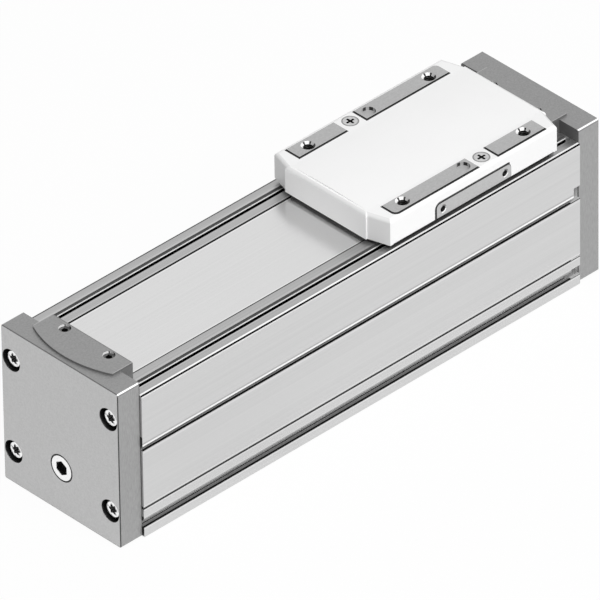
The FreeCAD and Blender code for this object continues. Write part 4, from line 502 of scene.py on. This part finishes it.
# Painted highlights round the set screws' mouths: from and to in degrees, and grey.
SET_HOLE_SECTORS = ((50.0, 165.0, 255), (0.0, 40.0, 200))


def cap_metal():
    """Matt grey anodised cap, its faces painted lighter or darker by how the light falls: the end face
    lightest, the top darkest.
    """
    made = Finish("cap_metal", 0.55)
    grain = made.noise((1100.0, 1100.0, 1100.0), 3.0)
    fine = made.noise((1500.0, 300.0, 300.0), 2.0)
    # The greys by facing are painted light and shade: the end face lighter, the sides darker, the top
    # darkest.
    edge = made.mix(made.facing("Z"), made.grain(fine, 159, 7), made.grain(grain, 145, 8))
    made.colour = made.mix(made.facing("X"), edge, made.grain(grain, 199, 7))
    paint_cap_edges(made)
    paint_nose(made)
    paint_cap_holes(made)
    return made.finish(made.spread(grain, 0.42, 0.5), grain, 0.08)


def paint_cap_edges(made):
    # Painted shade lines along the end face's edges and at its foot, a painted shade line under and a
    # painted highlight on the top's side bevels, and painted shade where the cap meets the profile.
    along = made.size(made.spots["X"])
    across = made.size(made.spots["Y"])
    height = made.spots["Z"]
    end_edge = made.over(along, CAP_FACE_MM - CAP_EDGE_MM)
    made.paint(made.all_of(end_edge, made.over(across, CAP_SIDE_MM - CAP_EDGE_MM)), 70)
    made.paint(made.all_of(end_edge, made.over(height, CAP_TOP_MM - CAP_EDGE_MM)), 108)
    made.paint(made.all_of(made.over(along, CAP_FACE_MM - SKIN_MM), made.under(height, FOOT_LINE_MM)), 150)
    flank = made.over(across, CAP_SIDE_MM - CAP_FLANK_MM)
    corner = made.over(across, CAP_SIDE_MM - CAP_CORNER_MM)
    made.paint(made.all_of(flank, made.within(height, *FLANK_LINE_MM)), 138)
    made.paint(made.all_of(corner, made.within(height, *CORNER_LINE_MM)), 255)
    made.paint(made.all_of(flank, made.under(along, JOINT_LINE_MM)), 80)


def paint_nose(made):
    """Painted shade on the raised pad's wall and on the walls over the profile, darker on the far cap, a
    painted shade line on the pad's front rim and a painted highlight on its side rims.
    """
    along = made.size(made.spots["X"])
    across = made.size(made.spots["Y"])
    height = made.spots["Z"]
    made.paint(made.within(height, *PAD_WALL_MM), 104, True)
    upright = made.under(made.size(made.facings["Z"]), 0.5)
    walls = made.all_of(upright, made.under(across, CAP_SIDE_MM - CAP_CORNER_MM),
                        made.under(along, CAP_FACE_MM - CAP_FLANK_MM),
                        made.within(height, TOP_MM - SKIN_MM, CAP_TOP_MM + SKIN_MM))
    made.paint(walls, 112, True)
    made.paint(made.all_of(walls, made.over(made.spots["X"], 0.0)), 92, True)
    pad = made.over(height, PAD_TOP_MM - 0.05)
    made.paint(made.all_of(pad, made.under(along, PAD_FRONT_MM)), 122)
    made.paint(made.all_of(pad, made.over(across, PAD_SIDE_MM)), 176)


def paint_cap_holes(made):
    """Painted shade in the screw holes, the inner face painted light though it lies in shade, a painted
    shade ring round the plug, and the set screws' holes in painted shade with painted highlights at their
    mouths.
    """
    along = made.size(made.spots["X"])
    across = made.size(made.spots["Y"])
    height = made.spots["Z"]
    below = made.all_of(made.under(across, CAP_SIDE_MM - 0.4), made.within(height, *BELOW_MM))
    inside = made.within(along, END_MM + SKIN_MM, CAP_FACE_MM - SUNK_MM)
    made.paint(made.all_of(below, inside), 12, True)
    made.paint(made.all_of(below, made.under(along, END_MM + SKIN_MM)), 235, True)
    plug = made.distance(made.spots["Y"], made.sum("SUBTRACT", height, PLUG_HEIGHT_MM))
    ring = made.within(plug, *PLUG_RING_MM)
    made.paint(made.all_of(made.over(along, CAP_FACE_MM - SKIN_MM), ring), 24)
    dx, dy = made.from_four(0.0, SET_SCREWS_MM)
    hole = made.all_of(made.under(made.distance(dx, dy), SET_HOLE_MM), made.within(height, *SET_DEPTH_MM))
    made.paint(hole, 40, True)
    mouth = made.all_of(hole, made.over(height, PAD_TOP_MM - SET_MOUTH_MM))
    made.paint_round(mouth, made.angle(dx, dy), SET_HOLE_SECTORS)


# Slide body. Holes in its top are placed along and across from its middle, and those in its sides
# along from its middle and up from the profile's underside.

LOAD_HOLES_MM = (40.0, 32.0)
LOAD_SINK_MM = 3.8
LOAD_DEPTH_MM = (SLIDE_TOP_MM - 1.15, SLIDE_TOP_MM - 0.02)
# Painted highlights round the load holes' countersinks: from and to in degrees, and grey.
LOAD_SECTORS = ((95.0, 160.0, 255), (36.0, 77.0, 238), (-15.0, 19.0, 178))
CENTRING_MM = (0.0, 32.0)
CENTRING_BORE_MM = 3.6
CENTRING_DEPTH_MM = (SLIDE_TOP_MM - 2.1, SLIDE_TOP_MM - 0.02)
CENTRING_WALL_MM = SLIDE_TOP_MM - 1.95
# Painted reflection in the centring bores, as dark bars: from and to in degrees, and grey.
CENTRING_SECTORS = ((68.0, 98.0, 50), (8.0, 42.0, 10), (-36.0, -14.0, 70))
SIDE_THREAD_MM = (20.5, 88.2)
SIDE_RING_MM = (1.6, 2.35)
# A painted highlight and painted shade round the side threads' mouths: from and to in degrees, and grey.
SIDE_SECTORS = ((-110.0, -15.0, 252), (20.0, 100.0, 110))
SIDE_PAD_MM = 39.25


def slide_metal():
    """Fine milled slide body: only the lands and the side pads are bright, the pads painted lighter than
    the lands by how the light falls; the rest is painted black as shade, and the holes get painted
    highlights, reflections and shade.
    """
    made = Finish("slide_metal", 0.85)
    across = made.size(made.spots["Y"])
    height = made.spots["Z"]
    grain = made.noise((900.0, 1100.0, 1100.0), 3.0)
    made.colour = made.mix(made.facing("Y"), made.grain(grain, 177, 7), made.grain(grain, 192, 6))
    # Painted shade: all below the lands and inside the pads is black.
    made.paint(made.all_of(made.under(height, SLIDE_TOP_MM - 0.04), made.under(across, SIDE_PAD_MM)),
               10, True)
    dx, dy = made.from_four(MIDDLE_MM, LOAD_HOLES_MM)
    sink = made.all_of(made.under(made.distance(dx, dy), LOAD_SINK_MM), made.within(height, *LOAD_DEPTH_MM))
    made.paint_round(sink, made.angle(dx, dy), LOAD_SECTORS)
    # Painted reflection in the centring bores: a dull grey with dark bars.
    dx, dy = made.from_four(MIDDLE_MM, CENTRING_MM)
    bore = made.all_of(made.under(made.distance(dx, dy), CENTRING_BORE_MM),
                       made.within(height, *CENTRING_DEPTH_MM))
    made.paint(bore, 178, True)
    wall = made.all_of(bore, made.over(height, CENTRING_WALL_MM))
    made.paint_round(wall, made.angle(dx, dy), CENTRING_SECTORS)
    dx = made.from_pair(made.spots["X"], MIDDLE_MM, SIDE_THREAD_MM[0])
    dz = made.sum("SUBTRACT", height, SIDE_THREAD_MM[1])
    ring = made.all_of(made.over(across, SIDE_PAD_MM - 0.05),
                       made.within(made.distance(dx, dz), *SIDE_RING_MM))
    made.paint_round(ring, made.angle(dx, dz), SIDE_SECTORS)
    return made.finish(made.spread(grain, 0.34, 0.42), grain, 0.05)


# Plain metals, the strip and the screws.

HEAD_GAP_MM = 0.1
# The plug's socket is painted lighter above this height: painted light.
SOCKET_LIGHT_MM = PLUG_HEIGHT_MM + 0.8
COVER_HEAD_MM = 4.0
CROSS_MM = (0.62, 2.1)
CROSS_RIM_MM = 3.55


def milled(name, shade, rough):
    made = Finish(name, 0.9)
    grain = made.noise((500.0, 900.0, 900.0), 3.0)
    cloud = made.noise((40.0, 40.0, 40.0), 2.0)
    made.colour = made.grain(grain, shade, 5)
    return made.finish(made.spread(cloud, rough - 0.04, rough + 0.05), grain, 0.05)


def strip_steel():
    """Thin stainless strip, smooth, with a faint grain along its length, painted highlights along both
    edges, a painted shade line at its right edge and painted shade at its left edge.
    """
    made = Finish("strip_steel", 0.95)
    grain = made.noise((3.0, 900.0, 60.0), 3.0)
    cloud = made.noise((6.0, 30.0, 6.0), 2.0)
    made.colour = made.grain(grain, 216, 2)
    across = made.spots["Y"]
    edge = STRIP_HALF / MM
    made.paint(made.under(across, -edge + 0.8), 234)
    made.paint(made.under(across, -edge + 0.25), 140)
    made.paint(made.within(across, edge - 1.0, edge - 0.5), 234)
    made.paint(made.over(across, edge - 0.2), 14)
    return made.finish(made.spread(cloud, 0.20, 0.24), grain, 0.01)


def bright_steel(name, shade, metallic=0.95):
    made = Finish(name, metallic)
    grain = made.noise((700.0, 700.0, 700.0), 2.0)
    made.colour = made.grain(grain, shade, 4)
    return made.finish(made.spread(grain, 0.22, 0.32), grain, 0.03)


def plug_steel():
    """Screw plug with its hexagon socket in painted shade, painted a little lighter at the socket's upper
    end as painted light.
    """
    made = Finish("plug_steel", 0.9)
    grain = made.noise((700.0, 700.0, 700.0), 2.0)
    made.colour = made.grain(grain, 250, 4)
    sunk = made.under(made.size(made.spots["X"]), CAP_FACE_MM - SUNK_MM)
    made.paint(sunk, 14, True)
    made.paint(made.all_of(sunk, made.over(made.spots["Z"], SOCKET_LIGHT_MM)), 120, True)
    return made.finish(made.spread(grain, 0.22, 0.32), grain, 0.03)


def cover_screw_offsets(made):
    """Offsets in X and Y from the axis of the cover screw on the same side."""
    low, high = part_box("cover_screws")
    reach = (high - low) / 2 / MM
    side = made.side_of(made.spots["Y"])
    along = made.sum("SUBTRACT", made.spots["X"], MIDDLE_MM)
    dx = made.sum("ADD", along, made.sum("MULTIPLY", side, reach.x - COVER_HEAD_MM))
    dy = made.sum("SUBTRACT", made.spots["Y"], made.sum("MULTIPLY", side, reach.y - COVER_HEAD_MM))
    return dx, dy


def cover_screw_steel():
    """Cross-recessed heads: grey steel, with painted shade in the cross, on the rim and below the head's
    top.
    """
    made = Finish("cover_screw_steel", 0.8)
    grain = made.noise((900.0, 900.0, 900.0), 2.0)
    made.colour = made.grain(grain, 200, 10)
    dx, dy = cover_screw_offsets(made)
    arms = [made.all_of(made.under(made.size(thin), CROSS_MM[0]), made.under(made.size(long), CROSS_MM[1]))
            for thin, long in ((dx, dy), (dy, dx))]
    made.paint(made.over(made.distance(dx, dy), CROSS_RIM_MM), 150)
    made.paint(made.any_of(*arms), 14, True)
    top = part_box("cover_screws")[1].z / MM
    made.paint(made.under(made.spots["Z"], top - HEAD_GAP_MM), 14, True)
    return made.finish(made.spread(grain, 0.30, 0.4), grain, 0.03)


def set_screw_steel():
    """Set screws: mottled grey tops, with painted shade in their sockets and all below their tops."""
    made = Finish("set_screw_steel", 0.7)
    grain = made.noise((1500.0, 1500.0, 1500.0), 2.0)
    made.colour = made.grain(grain, 92, 40)
    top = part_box("near_clamp_screws")[1].z / MM
    made.paint(made.under(made.spots["Z"], top - HEAD_GAP_MM), 10, True)
    return made.finish(made.spread(grain, 0.3, 0.4), grain, 0.03)


def plastic(name, shade, rough, grain_size):
    made = Finish(name, 0.0)
    grain = made.noise((grain_size, grain_size, grain_size), 2.0)
    cloud = made.noise((25.0, 25.0, 25.0), 2.0)
    made.colour = made.grain(cloud, shade, 1)
    return made.finish(made.spread(grain, rough - 0.04, rough + 0.04), grain, 0.04)


# Slide cover. Its windows are given for the right side, along from the slide's middle and across.
# The left side has the same ones, turned half round.

COVER_GREY = 243
WINDOWS_MM = ((-49.5, 5.0), (18.4, 49.5))
LANDS_MM = (28.0, 37.0)
# The painted shade round the lands reaches this far onto the cover, shifted toward the near and right sides
# by the outline shift.
MARGIN_MM = 0.65
OUTLINE_SHIFT_MM = 0.35
LAND_ROUND_MM = 2.4
SCREW_SEAT_MM = (3.5, 4.3)
PAD_CORNER_MM = (22.3, 89.8)
PAD_LINE_MM = (2.0, 3.5)
PAD_LINE_END_MM = 23.8
PAD_FLANK_MM = 38.0
HOLLOW_LENGTH_MM = 53.0
HOLLOW_SIDE_MM = 38.2
HOLLOW_TOP_MM = 97.5
COVER_RIM_MM = COVER_BOTTOM_MM + 0.3


def cover_plastic():
    """White moulded cover, with painted shade round its windows, pads and screw seats and in its hollow,
    and its faces painted lighter or darker by how the light falls.
    """
    made = Finish("cover_plastic", 0.0)
    grain = made.noise((900.0, 900.0, 900.0), 2.0)
    cloud = made.noise((25.0, 25.0, 25.0), 2.0)
    made.colour = made.grain(cloud, COVER_GREY, 1)
    along = made.sum("SUBTRACT", made.spots["X"], MIDDLE_MM)
    paint_cover_faces(made)
    paint_windows(made, along)
    # A painted shade ring round each screw seat.
    made.paint(made.within(made.distance(*cover_screw_offsets(made)), *SCREW_SEAT_MM), 140)
    paint_pad_frames(made, along)
    paint_cover_inside(made, along)
    return made.finish(made.spread(grain, 0.40, 0.48), grain, 0.03)


def paint_cover_faces(made):
    """Painted shade makes the slanted faces and the round corners at the ends greyer than the top, and
    painted light makes the end faces lighter.
    """
    lean = made.size(made.facings["X"])
    fold = made.all_of(made.within(lean, 0.15, 0.93), made.over(made.facings["Z"], 0.3))
    made.paint(fold, 228)
    upright = made.under(made.size(made.facings["Z"]), 0.3)
    made.paint(made.all_of(upright, made.over(lean, 0.985)), 250)
    made.paint(made.all_of(upright, made.within(lean, 0.3, 0.98)), 228)


def paint_windows(made, along):
    """Painted shade in the gaps round the lands and on the cover beside them, a little wider on the near
    and right sides of each.
    """
    side = made.side_of(made.spots["Y"])
    turned = made.sum("MULTIPLY", made.sum("MULTIPLY", along, side), -1.0)
    u = made.sum("SUBTRACT", turned, made.sum("MULTIPLY", side, OUTLINE_SHIFT_MM))
    v = made.size(made.sum("ADD", made.spots["Y"], OUTLINE_SHIFT_MM))
    row = made.within(v, LANDS_MM[0] - MARGIN_MM, LANDS_MM[1] + MARGIN_MM)
    for low, high in WINDOWS_MM:
        made.paint(made.all_of(row, made.within(u, low - MARGIN_MM, high + MARGIN_MM)), 14)
    du = made.sum("SUBTRACT", u, WINDOWS_MM[0][0] + LAND_ROUND_MM)
    dv = made.sum("SUBTRACT", v, LANDS_MM[1] - LAND_ROUND_MM)
    reach = LAND_ROUND_MM + MARGIN_MM
    corner = made.all_of(made.within(du, -reach, 0.0), made.within(dv, 0.0, reach),
                         made.over(made.distance(du, dv), reach))
    made.paint(corner, COVER_GREY)


def paint_pad_frames(made, along):
    """A painted shade line round the upper edge of each side pad, with round corners."""
    out_x = made.sum("MAXIMUM", made.sum("SUBTRACT", made.size(along), PAD_CORNER_MM[0]), 0.0)
    out_z = made.sum("MAXIMUM", made.sum("SUBTRACT", made.spots["Z"], PAD_CORNER_MM[1]), 0.0)
    line = made.all_of(made.within(made.distance(out_x, out_z), *PAD_LINE_MM),
                       made.over(made.size(made.spots["Y"]), PAD_FLANK_MM),
                       made.under(along, PAD_LINE_END_MM))
    made.paint(line, 14)


def paint_cover_inside(made, along):
    """Painted shade in the hollow underneath and on the long lower rims."""
    height = made.spots["Z"]
    between = made.under(made.size(along), HOLLOW_LENGTH_MM)
    hollow = made.all_of(made.under(made.size(made.spots["Y"]), HOLLOW_SIDE_MM), between,
                         made.under(height, HOLLOW_TOP_MM))
    made.paint(hollow, 10)
    made.paint(made.all_of(made.under(height, COVER_RIM_MM), between), 30)


def paint_nodes():
    """Give every solid of the frame its finish, by its slot or by its own name."""
    made = {
        "anodised": anodised(),
        "cast": cap_metal(),
        "machined": milled("machined", 200, 0.36),
        "slide_alloy": slide_metal(),
        "pulley_alloy": milled("pulley_alloy", 205, 0.32),
        "strip_steel": strip_steel(),
        "rail_steel": milled("rail_steel", 196, 0.28),
        "bearing_steel": milled("bearing_steel", 210, 0.24),
        "screw_steel": bright_steel("screw_steel", 226),
        "white_plastic": cover_plastic(),
        "black_plastic": plastic("black_plastic", 48, 0.45, 1200.0),
        "belt_rubber": plastic("belt_rubber", 40, 0.6, 1500.0),
        "buffer_rubber": plastic("buffer_rubber", 44, 0.65, 1500.0),
        "magnet_rubber": plastic("magnet_rubber", 66, 0.6, 1500.0),
        # Painted shade for the cap screws' drives and for the thread ridges in the tapped holes.
        "dark": bright_steel("drive_shadow", 30, 0.0),
        "thread": bright_steel("thread_steel", 34, 0.3),
        "screw_head": bright_steel("screw_head", 254, 0.9),
    }
    plug = plug_steel()
    set_screw = set_screw_steel()
    own = {"cover_screws": cover_screw_steel(), "near_screw_plug": plug, "far_screw_plug": plug,
           "near_clamp_screws": set_screw, "far_clamp_screws": set_screw}
    for part in record["subparts"]:
        mesh = nodes[part["node"]].data
        mesh.materials.clear()
        mesh.materials.append(own.get(part["node"], made[part["material_slot"]]))
    return made


# Pieces.

def add_piece(name, shape, materials, body):
    """An object from a bmesh, with its materials and body."""
    bmesh.ops.recalc_face_normals(shape, faces=shape.faces)
    mesh = bpy.data.meshes.new(name)
    shape.to_mesh(mesh)
    shape.free()
    for material in materials:
        mesh.materials.append(material)
    piece = bpy.data.objects.new(name, mesh)
    bpy.context.scene.collection.objects.link(piece)
    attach(piece, body)
    return piece


def loft(shape, rings):
    """Faces between rings of points, each ring with as many points."""
    rows = [[shape.verts.new(point) for point in ring] for ring in rings]
    count = len(rows[0])
    faces = []
    for first, second in zip(rows, rows[1:]):
        for i in range(count):
            j = (i + 1) % count
            faces.append(shape.faces.new((first[i], first[j], second[j], second[i])))
    return rows, faces


# Cover strip: the flat part stays with the profile, the lifted part goes with the slide.

STRIP_THICKNESS = 0.4 * MM
LIFT_INNER = 31.0 * MM
LIFT_OUTER = 49.0 * MM
RAMP_STEPS = 12


def strip_piece(name, path, body, material):
    """A strip that follows (x, z) points along its upper face."""
    rings = []
    for i, (x, z) in enumerate(path):
        before = path[max(i - 1, 0)]
        after = path[min(i + 1, len(path) - 1)]
        way = Vector((after[0] - before[0], 0.0, after[1] - before[1])).normalized()
        down = Vector((way.z, 0.0, -way.x)) * STRIP_THICKNESS
        top = Vector((x, 0.0, z))
        out = Vector((0.0, STRIP_HALF, 0.0))
        rings.append([top - out, top + out, top + down + out, top + down - out])
    shape = bmesh.new()
    rows = loft(shape, rings)[0]
    shape.faces.new(rows[0][::-1])
    shape.faces.new(rows[-1])
    piece = add_piece(name, shape, [material], body)
    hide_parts("cover_strip")


def make_strip(material):
    low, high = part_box("cover_strip")
    base = low.z + STRIP_THICKNESS
    strip_piece("strip_flat", [(low.x, base), (high.x, base)], "frame", material)
    ramp = [i / RAMP_STEPS for i in range(RAMP_STEPS + 1)]
    rise = [(high.z - base) * (3 * t * t - 2 * t ** 3) for t in ramp]
    near = [(SLIDE_MIDDLE - LIFT_OUTER + (LIFT_OUTER - LIFT_INNER) * t, base + z)
            for t, z in zip(ramp, rise)]
    far = [(2 * SLIDE_MIDDLE - x, z) for x, z in reversed(near)]
    strip_piece("strip_loop", near + far, "carriage", material)


# Cap screws with six-lobed drives.

LOBES = 6
LOBE_POINTS = 12
HEAD_RADIUS = 4.25 * MM
HEAD_HEIGHT = 4.4 * MM
HEAD_ROUND = 0.25 * MM
ROUND_STEPS = 3
SHANK_RADIUS = 2.5 * MM
TIP_RADIUS = 1.6 * MM
TIP_LENGTH = 0.9 * MM
DRIVE_RADIUS = 2.15 * MM
DRIVE_WAVE = 0.42 * MM
DRIVE_DEPTH = 2.2 * MM
DRIVE_LIP = 0.1 * MM
DRIVE_TAPER = (0.92, 0.9)
SCREW_LENGTH = 24.0 * MM


def screw_rings(seat, out):
    """Rings of a cap screw, from its tip to the bottom of its drive."""
    count = LOBES * LOBE_POINTS
    turns = [2 * math.pi * i / count for i in range(count)]

    def ring(reach, radius, wave=0.0):
        points = []
        for turn in turns:
            r = radius + wave * math.cos(LOBES * turn)
            points.append(seat + out * reach + Vector((0, r * math.cos(turn), r * math.sin(turn))))
        return points

    rings = [ring(-SCREW_LENGTH, TIP_RADIUS), ring(-SCREW_LENGTH + TIP_LENGTH, SHANK_RADIUS),
             ring(0.0, SHANK_RADIUS), ring(0.0, HEAD_RADIUS)]
    for step in range(ROUND_STEPS + 1):
        angle = math.pi / 2 * step / ROUND_STEPS
        rings.append(ring(HEAD_HEIGHT - HEAD_ROUND * (1 - math.sin(angle)),
                          HEAD_RADIUS - HEAD_ROUND * (1 - math.cos(angle))))
    rings.append(ring(HEAD_HEIGHT, DRIVE_RADIUS + DRIVE_LIP, DRIVE_WAVE))
    rings.append(ring(HEAD_HEIGHT - DRIVE_LIP, DRIVE_RADIUS, DRIVE_WAVE))
    rings.append(ring(HEAD_HEIGHT - DRIVE_DEPTH, DRIVE_RADIUS * DRIVE_TAPER[0],
                      DRIVE_WAVE * DRIVE_TAPER[1]))
    return rings


def cap_screw(name, seat, way, materials):
    """One screw with a bright head and its drive in painted shade."""
    shape = bmesh.new()
    rows, faces = loft(shape, screw_rings(seat, Vector((way, 0.0, 0.0))))
    shape.faces.new(rows[0])
    shape.faces.new(rows[-1]).material_index = 1
    for face in faces:
        face.smooth = True
    for face in faces[-2 * LOBES * LOBE_POINTS:]:
        face.material_index = 1
    return add_piece(name, shape, materials, "frame")


def make_cap_screws(materials):
    for side, way in (("near", -1.0), ("far", 1.0)):
        low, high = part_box(side + "_cap_screws")
        seat_x = low.x + HEAD_HEIGHT if way < 0 else high.x - HEAD_HEIGHT
        seats = [Vector((seat_x, y, z)) for y in (low.y + HEAD_RADIUS, high.y - HEAD_RADIUS)
                 for z in (low.z + HEAD_RADIUS, high.z - HEAD_RADIUS)]
        for number, seat in enumerate(seats, 1):
            piece = cap_screw(f"{side}_cap_screw_{number}", seat, way, materials)
            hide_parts(side + "_cap_screws")


# Thread ridges in the slide's tapped holes.

THREAD_STEPS = 20
THREAD_TURNS = 9
THREAD_DEPTH = 0.45
THREAD_OVERLAP = 0.02 * MM
LOAD_RADIUS = 2.5 * MM
LOAD_PITCH = 1.0 * MM
LOAD_MOUTH = SLIDE_TOP - 1.7 * MM
PAD_RADIUS = 1.65 * MM
PAD_PITCH = 0.7 * MM
PAD_MOUTH = COVER_HALF - 0.5 * MM


def thread_ridge(name, mouth, inward, radius, pitch, material):
    """A helical ridge on the wall of a tapped hole, from its mouth inward."""
    across = inward.orthogonal().normalized()
    along = inward.cross(across)
    root = radius + THREAD_OVERLAP
    half = THREAD_DEPTH * pitch
    crest = radius - half
    rings = []
    for step in range(THREAD_STEPS * THREAD_TURNS + 1):
        turn = 2 * math.pi * step / THREAD_STEPS
        way = across * math.cos(turn) + along * math.sin(turn)
        centre = mouth + inward * (pitch * step / THREAD_STEPS)
        rings.append([centre + way * root - inward * half, centre + way * crest,
                      centre + way * root + inward * half])
    shape = bmesh.new()
    rows, faces = loft(shape, rings)
    shape.faces.new(rows[0])
    shape.faces.new(rows[-1][::-1])
    for face in faces:
        face.smooth = True
    add_piece(name, shape, [material], "carriage")


def corner_name(kind, x, y):
    return kind + ("_near" if x < 0 else "_far") + ("_right" if y < 0 else "_left")


def make_threads(material):
    corners = [(x, y) for x in (-1.0, 1.0) for y in (-1.0, 1.0)]
    for x, y in corners:
        mouth = Vector((SLIDE_MIDDLE + x * LOAD_HOLES_MM[0] * MM, y * LOAD_HOLES_MM[1] * MM, LOAD_MOUTH))
        thread_ridge(corner_name("load_thread", x, y), mouth, Vector((0.0, 0.0, -1.0)),
                     LOAD_RADIUS, LOAD_PITCH, material)
    for x, y in corners:
        mouth = Vector((SLIDE_MIDDLE + x * SIDE_THREAD_MM[0] * MM, y * PAD_MOUTH, SIDE_THREAD_MM[1] * MM))
        thread_ridge(corner_name("pad_thread", x, y), mouth, Vector((0.0, -y, 0.0)),
                     PAD_RADIUS, PAD_PITCH, material)


make_camera()
make_world()
make_floor()
area_lamp("key", KEY_WAY, KEY_WIDTH, KEY_WATTS)
finishes = paint_nodes()
make_strip(finishes["strip_steel"])
make_cap_screws([finishes["screw_head"], finishes["dark"]])
make_threads(finishes["thread"])
bpy.context.scene.view_settings.view_transform = "Standard"
